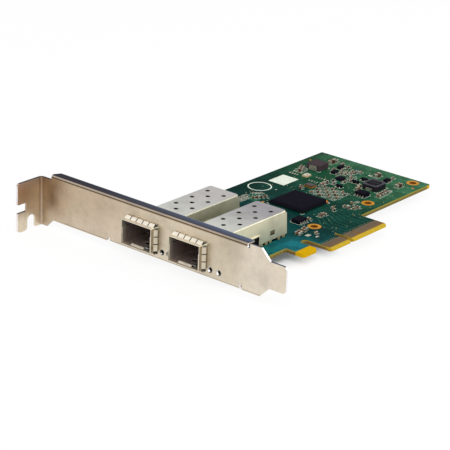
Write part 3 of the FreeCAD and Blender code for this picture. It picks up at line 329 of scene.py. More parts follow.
def laminate_edge(look):
    """Cut edge of the board: yellow at the tongue, gold on the tab and the tail, with painted shade making it
    dark behind the bracket.
    """
    edge = look.ramp(look.zone(y=(-103, -89)), [
        (0.0, srgb(188, 158, 28)), (0.12, srgb(178, 140, 32)), (0.3, srgb(112, 92, 54)),
        (0.9, srgb(104, 88, 50)), (1.0, srgb(134, 122, 62)),
    ])
    edge = look.tint(edge, srgb(176, 160, 62), z=(1.1, 1.5), share=0.5)
    edge = look.tint(edge, srgb(92, 80, 52), z=(0.7, 0.3), share=0.4)
    side, root = ALIGNMENT_TAB_SIDE, ALIGNMENT_TAB_ROOT
    on_tab = look.zone(x=(side + 0.4, side), y=(root, root - 0.8))
    gilded = look.either(on_tab, look.zone(x=(TAIL - 2.5, TAIL - 1.7)))
    edge = look.mixed(gilded, edge, srgb(190, 150, 16))
    # Painted shade: the front edge, behind the bracket, is painted dark green-black.
    edge = look.tint(edge, srgb(34, 50, 38), x=(FRONT + 0.3, FRONT + 0.05))
    return look.speckled(edge, 2.0, 0.14)


def solder_mask():
    """Green mask on both faces of the board, bare laminate on the edges, the tab and the tongue."""
    look = Surface("solder_mask")
    bare = look.ramp(look.zone(y=(-102.6, MASK_END)), [
        (0.0, srgb(190, 160, 30)), (0.16, srgb(192, 134, 28)), (0.24, srgb(172, 116, 34)),
        (0.32, srgb(122, 86, 42)), (1.0, srgb(104, 80, 50)),
    ])
    face = look.tint(mask_green(look), bare, x=(TONGUE_SIDE, TONGUE_SIDE + 0.2), y=(MASK_END, MASK_END - 0.2))
    side, root = ALIGNMENT_TAB_SIDE, ALIGNMENT_TAB_ROOT
    tab = look.tint(srgb(140, 120, 40), srgb(194, 152, 4), y=(root, root - 1.2))
    face = look.tint(face, tab, x=(side + 0.2, side), y=(root - 0.3, root - 0.6))
    # Painted shade: the board's top inside the cages is painted near black.
    shade_under_cages = look.both(inside_cages(look), look.over(look.z, 1.0))
    face = look.mixed(shade_under_cages, face, srgb(10, 16, 14))
    on_face = look.either(look.over(look.z, TOP - 0.015), look.under(look.z, UNDER + 0.015))
    look.bump(look.noise(1.6, 2.0), 0.12, 0.02)
    return look.finish(look.mixed(on_face, laminate_edge(look), face), 0.5, 0.34, 0.48, level=0.004)


def contact_gold():
    """Worn gold of the edge contacts, brown where the plating is thin."""
    look = Surface("contact_gold")
    colour = look.ramp(look.zone(y=(-101.3, -96.8)), [
        (0.0, srgb(120, 88, 34)), (0.2, srgb(90, 68, 26)), (0.8, srgb(82, 62, 30)), (1.0, srgb(112, 88, 48)),
    ])
    return look.finish(look.speckled(colour, 0.7, 0.25), 2.0, 0.28, 0.42, metallic=0.75)


def ring_gold():
    """Orange gold of the plated holes, redder down the barrel."""
    look = Surface("ring_gold")
    barrel = look.inside(look.z, UNDER + 0.02, TOP - 0.03, 0.02)
    colour = look.mixed(barrel, look.speckled(srgb(180, 124, 14), 0.9, 0.15), srgb(132, 72, 26))
    return look.finish(colour, 2.0, 0.3, 0.45, metallic=0.3, level=0.03)


def lead_gold():
    """Thin gold over the contacts inside the cages."""
    look = Surface("lead_gold")
    return look.finish(look.speckled(srgb(206, 164, 86), 1.2, 0.12), 3.0, 0.25, 0.38, metallic=0.9)


def strip_nickel(look):
    """Warm nickel of the bracket's strip and tab, with a painted highlight and painted shade along the fold
    of the lip, a painted highlight on the tab's outer edge, a burr and a smudge.
    """
    colour = look.ramp(look.zone(y=(-119, 0.5)), [
        (0.0, srgb(216, 204, 185)), (0.12, srgb(215, 204, 186)), (0.24, srgb(198, 184, 161)),
        (0.5, srgb(209, 195, 173)), (0.72, srgb(190, 170, 147)), (0.85, srgb(190, 170, 145)),
        (0.94, srgb(176, 153, 126)), (1.0, srgb(150, 122, 96)),
    ])
    tab = look.tint(srgb(216, 194, 160), srgb(172, 140, 112), x=(-2, -9))
    tab = look.tint(tab, srgb(186, 166, 154), z=(13, 18))
    tab = look.tint(tab, srgb(212, 196, 170), z=(5, 1))
    # Painted highlight on the tab's outer cut edge.
    tab = look.tint(tab, srgb(240, 234, 236), x=(0.2 - TAB_REACH, 0.1 - TAB_REACH))
    colour = look.tint(colour, tab, x=(-0.4, -1.6))
    colour = look.tint(colour, srgb(232, 224, 206), z=(13.0, 1.0), share=0.25)
    # Painted highlight and painted shade along the fold below the lip: a dark line between lighter bands.
    fold_highlight_and_shade = look.ramp(look.zone(z=(17.0, 18.2)), [
        (0.0, srgb(196, 178, 152)), (0.2, srgb(160, 142, 118)), (0.42, srgb(66, 52, 38)),
        (0.54, srgb(84, 70, 54)), (0.7, srgb(178, 162, 142)), (0.95, srgb(170, 154, 140)),
    ])
    on_bend = look.both(look.zone(z=(16.9, 17.05)), look.over(look.y, LIP_END))
    colour = look.mixed(on_bend, colour, fold_highlight_and_shade)
    burr = look.both(look.inside(look.z, 0.3, 0.55, 0.12), look.zone(y=(-9, -14), share=0.6))
    colour = look.mixed(burr, colour, srgb(110, 86, 66))
    smudge = look.both(look.inside(look.y, -8.0, -4.0, 2.0), look.inside(look.z, 5.0, 13.0, 3.0))
    colour = look.mixed(look.both(smudge, 0.6), colour, srgb(116, 86, 62))
    colour = look.clouded(colour, 0.09, 4.0, 0.6, [(0.35, 0.86), (0.5, 1.0), (0.68, 1.08)])
    return look.clouded(colour, 0.55, 5.0, 0.7, [(0.36, 0.94), (0.47, 1.0), (0.62, 1.03)])


def painted_lip_reflection(look):
    """Painted dark reflection on the lip: bluer towards the end away from the tab, and paler along its rear
    edge.
    """
    front = look.ramp(look.zone(y=(-112, -15)), [
        (0.0, srgb(64, 68, 82)), (0.5, srgb(56, 56, 66)), (0.85, srgb(50, 46, 54)), (1.0, srgb(46, 42, 50)),
    ])
    back = look.ramp(look.zone(y=(-112, -15)), [
        (0.0, srgb(78, 90, 114)), (0.5, srgb(62, 68, 82)), (0.85, srgb(34, 34, 46)), (1.0, srgb(34, 32, 42)),
    ])
    return look.tint(look.tint(front, back, x=(1.0, 2.6)), srgb(124, 126, 138), x=(3.5, 3.8))


def bracket_steel():
    """Nickel plated steel: cloudy and finger marked on the strip, with a painted highlight on cut edges and a
    painted dark reflection on the lip and on faces turned up.
    """
    look = Surface("bracket_steel")
    facing = look.facing()
    # Painted highlight: the cut edges of the sheet are painted near white.
    across = look.under(look.maths("ABSOLUTE", facing["X"]), 0.3)
    cut_edge_highlight = look.both(across, look.inside(look.x, 0.02, BRACKET_SHEET - 0.02, 0.02))
    colour = look.mixed(cut_edge_highlight, strip_nickel(look), srgb(240, 236, 236))
    # Painted reflection: the lip's top and every face turned up take the dark colour of a reflection, with
    # less metal and gloss so that the painted colour shows.
    dark_reflection = look.both(look.zone(z=(LIP_TOP - 0.30, LIP_TOP - 0.14)), look.over(look.y, LIP_END))
    dark_reflection = look.either(dark_reflection, look.between(facing["Z"], 0.8, 0.95))
    look.bump(look.noise(8.0, 2.0, vector=look.stretched((40, 3, 400))), 0.08, 0.02)
    metallic, level = look.spread(dark_reflection, 0.85, 0.04), look.spread(dark_reflection, 0.5, 0.012)
    return look.finish(look.mixed(dark_reflection, colour, painted_lip_reflection(look)), 0.3, 0.26, 0.44, metallic, level, 4.0)


def zinc():
    """Bright zinc of the bracket screws."""
    look = Surface("zinc")
    return look.finish(look.speckled(srgb(190, 190, 186), 0.8, 0.12), 1.5, 0.25, 0.4, metallic=0.9)


def cage_alloy():
    """Satin nickel silver of the cages, a little lilac on top and olive lower down the sides, with painted
    light: the second cage's sides lighter, and the tops darker towards the rear.
    """
    look = Surface("cage_alloy")
    second = look.zone(y=(-62, -66))
    colour = look.tint(srgb(180, 178, 150), srgb(198, 194, 172), z=(3.0, 11.8))
    # Painted light: both cages are one alloy, but the second cage's sides are painted lighter than the
    # first's, and each top is painted darker towards the rear, the second cage's most.
    colour = look.mixed(second, colour, srgb(224, 220, 194))
    rear = look.mixed(second, srgb(178, 174, 172), srgb(150, 147, 150))
    top = look.tint(srgb(192, 193, 186), rear, x=(18, 40))
    colour = look.tint(colour, top, z=(CAGE_TOP - 0.15, CAGE_TOP - 0.02))
    colour = look.tint(colour, srgb(206, 184, 128), z=(3.0, 2.4))
    colour = shaded_inside(look, colour, srgb(156, 142, 142), srgb(26, 24, 26))
    colour = look.clouded(colour, 0.12, 4.0, 0.6, [(0.32, 0.84), (0.5, 1.0), (0.7, 1.07)])
    look.bump(look.noise(8.0, 2.0, vector=look.stretched((3, 300, 60))), 0.06, 0.02)
    return look.finish(colour, 0.35, 0.40, 0.56, metallic=0.8)


def cage_tray():
    """Duller alloy of the cage trays, with painted shade darker towards the inside."""
    look = Surface("cage_tray")
    # Painted shade: the trays darken from the mouths inwards.
    colour = look.tint(srgb(216, 206, 186), srgb(132, 120, 94), x=(-2.5, 14))
    colour = shaded_inside(look, colour, srgb(166, 150, 142), srgb(28, 26, 28))
    return look.finish(look.speckled(colour, 0.3, 0.14), 0.8, 0.34, 0.5, metallic=0.85)


def spring_alloy():
    """Warm spring strip of the finger collars, with painted light: lightest on faces turned up, then on faces
    turned to the front.
    """
    look = Surface("spring_alloy")
    facing = look.facing()
    # Painted light: faces turned up, and less so faces turned to the front, are painted lighter.
    front = look.both(look.between(facing["X"], -0.4, -0.8), 0.6)
    painted_light = look.either(look.between(facing["Z"], 0.1, 0.5), front)
    colour = look.mixed(painted_light, srgb(172, 160, 134), srgb(234, 226, 210))
    return look.finish(look.speckled(colour, 0.5, 0.10), 1.2, 0.28, 0.42, metallic=0.8)


def connector_black():
    """Black glass filled nylon of the host connectors."""
    look = Surface("connector_black")
    look.bump(look.noise(6.0), 0.1, 0.02)
    return look.finish(look.speckled(srgb(24, 24, 26), 1.5, 0.2), 3.0, 0.5, 0.62, level=0.05)


def lamp_white():
    """White resin of the status lamps."""
    look = Surface("lamp_white")
    return look.finish(look.speckled(srgb(186, 184, 174), 1.2, 0.08), 2.0, 0.4, 0.5, level=0.4)


def lamp_clear():
    """Cloudy resin of the lamp lenses, which lets some light through."""
    look = Surface("lamp_clear")
    look.put(look.shader, "Transmission Weight", 0.35)
    return look.finish(look.speckled(srgb(104, 116, 96), 2.0, 0.15), 3.0, 0.15, 0.25)


def moulding_compound():
    """Fine matt black epoxy of the chips, with a violet cast."""
    look = Surface("moulding_compound")
    look.bump(look.noise(9.0, 2.0), 0.1, 0.01)
    colour = look.speckled(pin_marked(look, srgb(19, 17, 26)), 2.5, 0.25)
    return look.finish(colour, 4.0, 0.46, 0.6, level=0.003)


def package_laminate():
    """Dark green laminate under the controller's mould cap."""
    look = Surface("package_laminate")
    colour = look.speckled(pin_marked(look, srgb(16, 26, 22)), 1.5, 0.25)
    return look.finish(colour, 3.0, 0.4, 0.5, level=0.02)


def solder_tin():
    """Bright tin on leads, end caps and balls, with duller flux stained patches."""
    look = Surface("solder_tin")
    colour = look.ramp(look.noise(0.9, 3.0, 0.6), [
        (0.32, srgb(112, 102, 80)), (0.5, srgb(176, 174, 158)), (0.68, srgb(222, 222, 212)),
    ])
    look.bump(look.noise(3.0, 2.0), 0.2, 0.03)
    return look.finish(colour, 2.2, 0.22, 0.4, metallic=0.7)


def pressed_iron():
    """Brown violet pressed iron powder of the moulded inductor."""
    look = Surface("pressed_iron")
    colour = look.ramp(look.noise(1.4, 5.0, 0.7), [
        (0.35, srgb(52, 42, 45)), (0.55, srgb(68, 59, 63)), (0.7, srgb(80, 70, 74)),
    ])
    look.bump(look.noise(5.0, 4.0), 0.25, 0.03)
    return look.finish(colour, 2.0, 0.5, 0.65, level=0.006)


def ferrite():
    """Dark sintered ferrite of the shielded inductor, paler round its square top."""
    look = Surface("ferrite")
    low, high = box_of("shielded_inductor_core")
    middle = (low + high) / 2
    colour = look.ramp(look.noise(1.2, 4.0, 0.7), [(0.35, srgb(26, 24, 28)), (0.65, srgb(44, 42, 48))])
    reach = look.either(look.away(look.x, middle.x), look.away(look.y, middle.y))
    rim = look.both(look.between(reach, 2.5, 2.9), look.zone(z=(high.z - 0.4, high.z - 0.2), share=0.6))
    look.bump(look.noise(6.0, 3.0), 0.2, 0.02)
    return look.finish(look.mixed(rim, colour, srgb(92, 90, 98)), 2.0, 0.4, 0.55, level=0.004)


def capacitor_ceramic():
    """Fired brown ceramic; each body has its own shade of brown."""
    look = Surface("capacitor_ceramic")
    colour = look.ramp(look.noise(0.35, 1.0), [
        (0.35, srgb(50, 36, 29)), (0.5, srgb(88, 62, 42)), (0.65, srgb(134, 104, 70)),
    ])
    return look.finish(colour, 3.0, 0.38, 0.5, level=0.04)


def resistor_glaze():
    """Dark glaze on the outer face of the resistors' white ceramic."""
    look = Surface("resistor_glaze")
    glaze = look.speckled(srgb(26, 26, 30), 2.0, 0.2)
    side = look.speckled(srgb(204, 200, 188), 2.0, 0.08)
    glazed = look.over(look.z, box_of("small_resistor_bodies")[1].z - 0.02)
    return look.finish(look.mixed(glazed, side, glaze), 3.0, 0.3, 0.45, level=0.04)


CRYSTAL_TO_OSCILLATOR = (99, 103)


def lid_metal():
    """Metal lids: a dark tarnished one on the crystal, a pale one with a brown middle on the oscillator."""
    look = Surface("lid_metal")
    colour = look.tint(srgb(36, 20, 14), srgb(216, 212, 196), x=CRYSTAL_TO_OSCILLATOR)
    middle = look.both(look.inside(look.x, 105.0, 106.2, 0.15), look.inside(look.y, -48.5, -47.5, 0.15))
    colour = look.mixed(middle, colour, srgb(130, 92, 58))
    return look.finish(look.speckled(colour, 0.8, 0.15), 1.5, 0.32, 0.45, metallic=0.7)


def gilded_ceramic():
    """Ceramic bases with gilded edges: amber on the crystal, cream on the oscillator."""
    look = Surface("gilded_ceramic")
    colour = look.tint(srgb(150, 104, 46), srgb(194, 172, 134), x=CRYSTAL_TO_OSCILLATOR)
    return look.finish(look.speckled(colour, 1.0, 0.15), 2.0, 0.35, 0.5, metallic=0.3)


def legend_ink():
    """White screen printed ink, a little greenish where it is thin."""
    look = Surface("legend_ink")
    colour = look.ramp(look.noise(1.5, 4.0, 0.7), [
        (0.30, srgb(170, 186, 168)), (0.5, srgb(214, 220, 206)), (0.7, srgb(232, 236, 226)),
    ])
    return look.finish(colour, 3.0, 0.5, 0.65, level=0.2)


def trace_green():
    """Mask over copper: lighter and yellower than the board round it."""
    look = Surface("trace_green")
    colour = look.ramp(look.noise(0.3), [(0.35, srgb(14, 66, 56)), (0.65, srgb(38, 92, 70))])
    return look.finish(colour, 1.0, 0.34, 0.46, level=0.006)


def bare_copper():
    """Pale gilded copper of the via rings and the dotted row."""
    look = Surface("bare_copper")
    colour = look.ramp(look.noise(0.8), [(0.35, srgb(150, 134, 84)), (0.65, srgb(206, 194, 136))])
    return look.finish(colour, 2.0, 0.32, 0.45, metallic=0.5)


SLOT_FINISHES = {
    "solder_mask": solder_mask,
    "nickel_plated_steel": bracket_steel,
    "screw_steel": zinc,
    "cage_alloy": cage_alloy,
    "spring_alloy": spring_alloy,
    "connector_plastic": connector_black,
    "lamp_plastic": lamp_white,
    "lamp_lens": lamp_clear,
    "package_plastic": moulding_compound,
    "package_laminate": package_laminate,
    "solder_tin": solder_tin,
    "inductor_composite": pressed_iron,
    "ferrite": ferrite,
    "capacitor_ceramic": capacitor_ceramic,
    "resistor_ceramic": resistor_glaze,
    "crystal_lid_metal": lid_metal,
    "crystal_ceramic": gilded_ceramic,
    "gold_plating": contact_gold,
}
NODE_FINISHES = {
    "plated_holes": ring_gold,
    "host_connector_contacts_1": lead_gold,
    "host_connector_contacts_2": lead_gold,
    "cage_base_1": cage_tray,
    "cage_base_2": cage_tray,
}


def dress_nodes():
    """Give every CAD node its material, made once for each finish."""
    made = {}
    for part in frame["record"]["subparts"]:
        finish_of = NODE_FINISHES.get(part["node"], SLOT_FINISHES[part["material_slot"]])
        if finish_of not in made:
            made[finish_of] = finish_of()
        for place in frame["nodes"][part["node"]].material_slots:
            place.material = made[finish_of]
    return made


# ---------------------------------------------------------------- thin print, pads and copper on the board
SINK = 0.03
PAD_THICKNESS, INK_THICKNESS = 0.03, 0.02
COPPER_THICKNESS, TRACE_THICKNESS = 0.015, 0.012
CORNER_STEPS = 5


class Sheet:
    """Thin flat shapes gathered into one piece on one face of the board."""

    def __init__(self, name, material, slot, height, face=TOP):
        self.name, self.material, self.slot = name, material, slot
        self.above, self.below = (face + height, face - SINK) if face == TOP else (face + SINK, face - height)
        self.points, self.faces = [], []

    def prism(self, outline):
        """Straight prism over a closed outline that turns to the left."""
        first, count = len(self.points), len(outline)
        self.points += [at(x, y, self.below) for x, y in outline] + [at(x, y, self.above) for x, y in outline]
        self.faces.append([first + i for i in reversed(range(count))])
        self.faces.append([first + count + i for i in range(count)])
        for i in range(count):
            j = (i + 1) % count
            self.faces.append([first + i, first + j, first + count + j, first + count + i])

    def box(self, x, y, width, depth):
        """Rectangle with its middle at a place."""
        w, d = width / 2, depth / 2
        self.prism([(x - w, y - d), (x + w, y - d), (x + w, y + d), (x - w, y + d)])

    def frame(self, x0, y0, x1, y1, line):
        """Outline of a rectangle."""
        for y in (y0, y1):
            self.box((x0 + x1) / 2, y, x1 - x0 + line, line)
        for x in (x0, x1):
            self.box(x, (y0 + y1) / 2, line, y1 - y0 - line)

    def dot(self, x, y, radius, sides=14):
        """Round spot."""
        turns = [2 * math.pi * i / sides for i in range(sides)]
        self.prism([(x + radius * math.cos(t), y + radius * math.sin(t)) for t in turns])

    def ring(self, x, y, inner, outer, sides):
        """Ring made of wedges that share their ends."""
        for i in range(sides):
            a, b = (2 * math.pi * k / sides for k in (i, i + 1))
            wedge = ((outer, a), (outer, b), (inner, b), (inner, a))
            self.prism([(x + radius * math.cos(t), y + radius * math.sin(t)) for radius, t in wedge])

    def run(self, path, width):
        """Strip of one width along a path."""
        sides = []
        for i, point in enumerate(path):
            along = (path[min(i + 1, len(path) - 1)] - path[max(i - 1, 0)]).normalized()
            across = Vector((-along.y, along.x)) * width / 2
            sides.append((point - across, point + across))
        for (a, b), (c, d) in zip(sides, sides[1:]):
            self.prism([tuple(a), tuple(c), tuple(d), tuple(b)])

    def fan(self, count, width, radius, points):
        """Runs side by side; each point is x, y and what every next run adds to x and to y."""
        for i in range(count):
            self.run(bent([Vector((x + i * dx, y + i * dy)) for x, y, dx, dy in points], radius), width)

    def make(self):
        """Finish the piece, riding on the card."""
        mesh = bpy.data.meshes.new(self.name)
        mesh.from_pydata([tuple(p) for p in self.points], [], self.faces)
        made = bpy.data.objects.new(self.name, mesh)
        bpy.context.scene.collection.objects.link(made)
        mesh.materials.append(self.material)
        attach(made, "root")


def bent(points, radius):
    """Path through points with rounded corners."""
    path = [points[0]]
    for before, corner, after in zip(points, points[1:], points[2:]):
        reach = min(radius, (corner - before).length / 2, (after - corner).length / 2)
        start = corner + (before - corner).normalized() * reach
        end = corner + (after - corner).normalized() * reach
        for i in range(CORNER_STEPS + 1):
            t = i / CORNER_STEPS
            path.append((1 - t) ** 2 * start + 2 * t * (1 - t) * corner + t * t * end)
    return path + [points[-1]]


CHIP_KINDS = ("large_capacitor", "medium_capacitor", "small_capacitor", "small_resistor")
LEADED_KINDS = ("small_outline_chip", "transistor", "regulator")
PADDED_NODES = [kind + "_terminals" for kind in CHIP_KINDS] + ["decoupling_capacitor_terminals"]
PADDED_NODES += [kind + "_leads" for kind in LEADED_KINDS]
PADDED_NODES += ["moulded_inductor_terminals", "shielded_inductor_terminals"]
MARKED_NODES = ("controller_substrate", "moulded_inductor_core", "shielded_inductor_core")
PAD_RIM = 0.07
# Rows of four empty pads: x, first y, pitch, width and depth.
EMPTY_ROWS = [
    (102.6, -51.7, 1.3, 1.0, 0.38), (107.6, -51.7, 1.3, 1.1, 0.45),
    (104.4, -40.4, 1.25, 1.1, 0.7), (107.0, -40.4, 1.25, 1.1, 0.7),
]
# Single empty pads: x, y, width and depth.
EMPTY_PADS = [
    (54.2, -87.9, 2.2, 1.7), (115.5, -82.6, 2.6, 1.5), (88.4, -80.0, 1.2, 1.0), (90.6, -80.0, 1.2, 1.0),
    (88.6, -83.4, 1.2, 1.0), (91.0, -84.2, 1.2, 1.0), (94.2, -79.6, 1.3, 1.0), (92.2, -81.6, 1.2, 0.9),
    (125.0, -66.4, 1.4, 1.8), (110.4, -62.6, 1.2, 1.2), (75.2, -46.4, 1.0, 0.8), (73.6, -48.4, 1.0, 0.8),
    (70.4, -49.8, 1.0, 0.8), (84.2, -48.8, 0.8, 0.6), (55.6, -91.2, 1.8, 0.8),
]


def make_pads(made):
    """Tinned pads under every terminal and lead, and on the footprints left empty."""
    sheet = Sheet("tinned_pads", made[solder_tin], "solder_tin", PAD_THICKNESS)
    under = Sheet("underside_tinned_pads", made[solder_tin], "solder_tin", PAD_THICKNESS, UNDER)
    for name in PADDED_NODES:
        for low, high in solids_of(name):
            middle, size = (low + high) / 2, high - low
            face = sheet if middle.z > (TOP + UNDER) / 2 else under
            face.box(middle.x, middle.y, size.x + 2 * PAD_RIM, size.y + 2 * PAD_RIM)
    under.make()
    for x, y, pitch, width, depth in EMPTY_ROWS:
        for i in range(4):
            sheet.box(x, y - pitch * i, width, depth)
    for x, y, width, depth in EMPTY_PADS:
        sheet.box(x, y, width, depth)
    sheet.make()


TERMINAL_GAP = 0.6
CHIP_MARGIN, CHIP_LINE = 0.45, 0.1
LEADED_MARGIN, LEADED_LINE = 0.25, 0.12
CORNER_MARGIN, CORNER_LINE, CORNER_ARM = 0.4, 0.2, 1.3
# Left of this x the small capacitors stand too close for outlines and have a bar each.
CROWDED_TO = 101.5
WRITE_ON_BOX = (95.2, -44.0, 10.0, 8.0)
PLAIN_RING = (82.4, -41.8, 4.5, 5.0)


def make_print(made):
    """White print: outlines round the small parts, corners round the large, a write-on box and a ring."""
    sheet = Sheet("white_print", made[legend_ink], "legend_ink", INK_THICKNESS)
    for kind in CHIP_KINDS:
        ends = solids_of(kind + "_terminals")
        for low, high in solids_of(kind + "_bodies"):
            near = [end for end in ends if all(
                end[0][k] < high[k] + TERMINAL_GAP and end[1][k] > low[k] - TERMINAL_GAP for k in (0, 1))]
            x0, y0 = (min([low[k]] + [end[0][k] for end in near]) - CHIP_MARGIN for k in (0, 1))
            x1, y1 = (max([high[k]] + [end[1][k] for end in near]) + CHIP_MARGIN for k in (0, 1))
            if kind == "small_capacitor" and x0 < CROWDED_TO:
                sheet.box((x0 + x1) / 2, y0, x1 - x0, CHIP_LINE)
            else:
                sheet.frame(x0, y0, x1, y1, CHIP_LINE)
    for kind in LEADED_KINDS:
        for low, high in solids_of(kind + "_bodies"):
            x0, y0 = low.x - LEADED_MARGIN, low.y - LEADED_MARGIN
            x1, y1 = high.x + LEADED_MARGIN, high.y + LEADED_MARGIN
            sheet.frame(x0, y0, x1, y1, LEADED_LINE)
    long_arm, short_arm = CORNER_ARM + CORNER_LINE / 2, CORNER_ARM - CORNER_LINE / 2
    for name in MARKED_NODES:
        low, high = box_of(name)
        for x, side in ((low.x - CORNER_MARGIN, 1), (high.x + CORNER_MARGIN, -1)):
            for y, end in ((low.y - CORNER_MARGIN, 1), (high.y + CORNER_MARGIN, -1)):
                sheet.box(x + side * short_arm / 2, y, long_arm, CORNER_LINE)
                sheet.box(x, y + end * long_arm / 2, CORNER_LINE, short_arm)
    sheet.box(*WRITE_ON_BOX)
    sheet.ring(*PLAIN_RING, sides=40)
    sheet.make()


# Fields that the vias are scattered over: x from and to, y from and to, and how many are tried.
VIA_FIELDS = [
    (62, 90, -94, -76, 70), (90, 101, -75, -56, 60), (88, 132, -88, -80, 40), (100, 131, -74, -54, 110),
    (68, 92, -54, -42, 40), (100, 132, -48, -38, 24),
]
VIA_HOLE, VIA_RADIUS = 0.08, 0.2
VIA_CLEARANCE = 0.5
VIA_SPACING_SQUARED = 0.8
GILDED_SHARE = 0.55
# Copper areas that show through the mask: x, y, width and depth.
POURS = [
    (95.8, -66.0, 11.6, 15.0), (125.6, -58.4, 5.0, 4.2), (124.4, -66.6, 2.6, 3.4), (108.0, -61.2, 5.0, 4.4),
    (118.4, -56.0, 6.4, 1.2), (120.4, -62.2, 9.0, 1.6), (114.6, -82.8, 5.2, 2.6), (72.0, -48.0, 9.0, 6.6),
]
# Gilded test spots: x, y and radius.
TEST_SPOTS = [(69.6, -53.6, 0.7), (125.2, -87.4, 0.6), (122.6, -37.0, 0.5), (120.8, -54.6, 0.6)]
# Dotted row over the contacts, with a gap at the key notch.
ROW_COUNT, ROW_START, ROW_PITCH, ROW_Y, ROW_DOT = 34, 50.2, 1.0, -96.2, 0.14
KEY_NOTCH = (60.6, 63.4)
PAIR_GAP = 0.22
# Fans of runs: how many, their width, the radius of their corners and the points of the first run.
TOP_FANS = [
    (8, 0.18, 1.6, [(72.6 + side, -73.6, 1.7, 0), (72.6 + side, -78.0, 1.7, -0.5),
                    (65.6 + side, -86.0, 2.45, -0.5), (65.6 + side, -96.0, 2.45, 0)])
    for side in (-PAIR_GAP, PAIR_GAP)
] + [
    (6, 0.18, 0.8, [(67.0, -57.0, 0, -1.1), (69.4, -57.0, 0, -1.1), (70.4, -58.0, 0, -1.1)]),
    (5, 0.18, 0.8, [(90.0, -58.0, 0, -1.5), (93.0, -60.6, 0, -1.5), (100.0, -60.6, 0, -1.5)]),
]
UNDER_FANS = [
    (8, 0.24, 1.6, [(70.6, -60.0, 1.9, -0.8), (70.6, -76.0, 1.9, -0.6),
                    (51.6, -88.0, 3.6, 0), (51.6, -96.0, 3.6, 0)]),
    (6, 0.24, 1.6, [(72.0, -50.0, 1.6, -1.4), (90.0, -50.0, 1.6, -1.4), (96.0, -56.0, 1.6, -1.4),
                    (128.0, -56.0, 0, -1.4)]),
    (5, 0.24, 1.6, [(48.6, -50.0, 0, -1.2), (62.0, -50.0, 0, -1.2), (70.0, -58.0, 0, -1.2)]),
]
UNDER_POUR = (115.0, -66.0, 22.0, 12.0)


def via_places(dice):
    """Scattered places for vias, clear of the parts and of each other, each with True where it is gilded."""
    taken = [box for part in frame["record"]["subparts"] for box in solids_of(part["node"])
             if part["node"] != "printed_circuit_board" and box[1].z > TOP - 0.15]
    places = []
    for x0, x1, y0, y1, count in VIA_FIELDS:
        for _ in range(count):
            x, y = dice.uniform(x0, x1), dice.uniform(y0, y1)
            clear = all(x < low.x - VIA_CLEARANCE or x > high.x + VIA_CLEARANCE
                        or y < low.y - VIA_CLEARANCE or y > high.y + VIA_CLEARANCE for low, high in taken)
            if clear and all((x - u) ** 2 + (y - v) ** 2 > VIA_SPACING_SQUARED for u, v, _ in places):
                places.append((x, y, dice.random() < GILDED_SHARE))
    return places


def make_copper(made):
    """Vias, test spots, the dotted row over the contacts, and the runs and copper areas under the mask."""
    vias = Sheet("via_rings", made[bare_copper], "gold_plating", COPPER_THICKNESS)
    runs = Sheet("mask_over_copper", made[trace_green], "solder_mask", TRACE_THICKNESS)
    under_vias = Sheet("underside_via_rings", made[bare_copper], "gold_plating", COPPER_THICKNESS, UNDER)
    for x, y, width, depth in POURS:
        runs.box(x, y, width, depth)
    for i in range(ROW_COUNT):
        x = ROW_START + ROW_PITCH * i
        if not KEY_NOTCH[0] < x < KEY_NOTCH[1]:
            vias.dot(x, ROW_Y, ROW_DOT, sides=8)
    spots = Sheet("test_spots", made[ring_gold], "gold_plating", COPPER_THICKNESS)
    for x, y, radius in TEST_SPOTS:
        spots.dot(x, y, radius)
    spots.make()
    for x, y, gilded in via_places(random.Random(7)):
        for sheet in (vias if gilded else runs, under_vias):
            sheet.ring(x, y, VIA_HOLE, VIA_RADIUS, sides=10)
    vias.make()
    under_vias.make()
    for fan in TOP_FANS:
        runs.fan(*fan)
    runs.make()
    under = Sheet("underside_mask_over_copper", made[trace_green], "solder_mask", TRACE_THICKNESS, UNDER)
    for fan in UNDER_FANS:
        under.fan(*fan)
    under.box(*UNDER_POUR)
    under.make()


# Points of pins that fall in one square of this size belong to one joint.
PIN_GROUP = 1.6
PIN_REACH = 0.05
JOINT_HEIGHT, JOINT_INNER, JOINT_OUTER = 0.12, 0.5, 0.85


def make_joints(made):
    """Solder joints on the underside, round every cage and connector pin that comes through the board."""
    sheet = Sheet("underside_solder_joints", made[solder_tin], "solder_tin", JOINT_HEIGHT, UNDER)
    pins = {}
    for name in frame["nodes"]:
        if name.startswith(("cage_", "host_")):
            for vertex in frame["nodes"][name].data.vertices:
                point = vertex.co / MM - SHIFT
                if point.z < UNDER - PIN_REACH:
                    square = (round(point.x / PIN_GROUP), round(point.y / PIN_GROUP))
                    pins.setdefault(square, []).append(point)
    for points in pins.values():
        middle = sum(points, Vector()) / len(points)
        sheet.ring(middle.x, middle.y, JOINT_INNER, JOINT_OUTER, sides=12)
    sheet.make()


# ---------------------------------------------------------------- camera, floor and light
CAMERA_PLACE = (-452.746, -456.819, 254.388)
AZIMUTH, ELEVATION, ROLL = (math.radians(angle) for angle in (-51.068, 21.747, 2.274))
SENSOR, LENS = 36.0, 142.66768
FLOOR_HALF, FLOOR_GAP = 3.0, 0.0002
# The floor glows for the camera, but for a patch under the ports that is seen through the gap below them.
GLOW, PATCH_DROP = 0.9, 0.8
PATCH_X, PATCH_Y = (10, 60, 1.5), (-94, -40, 6)


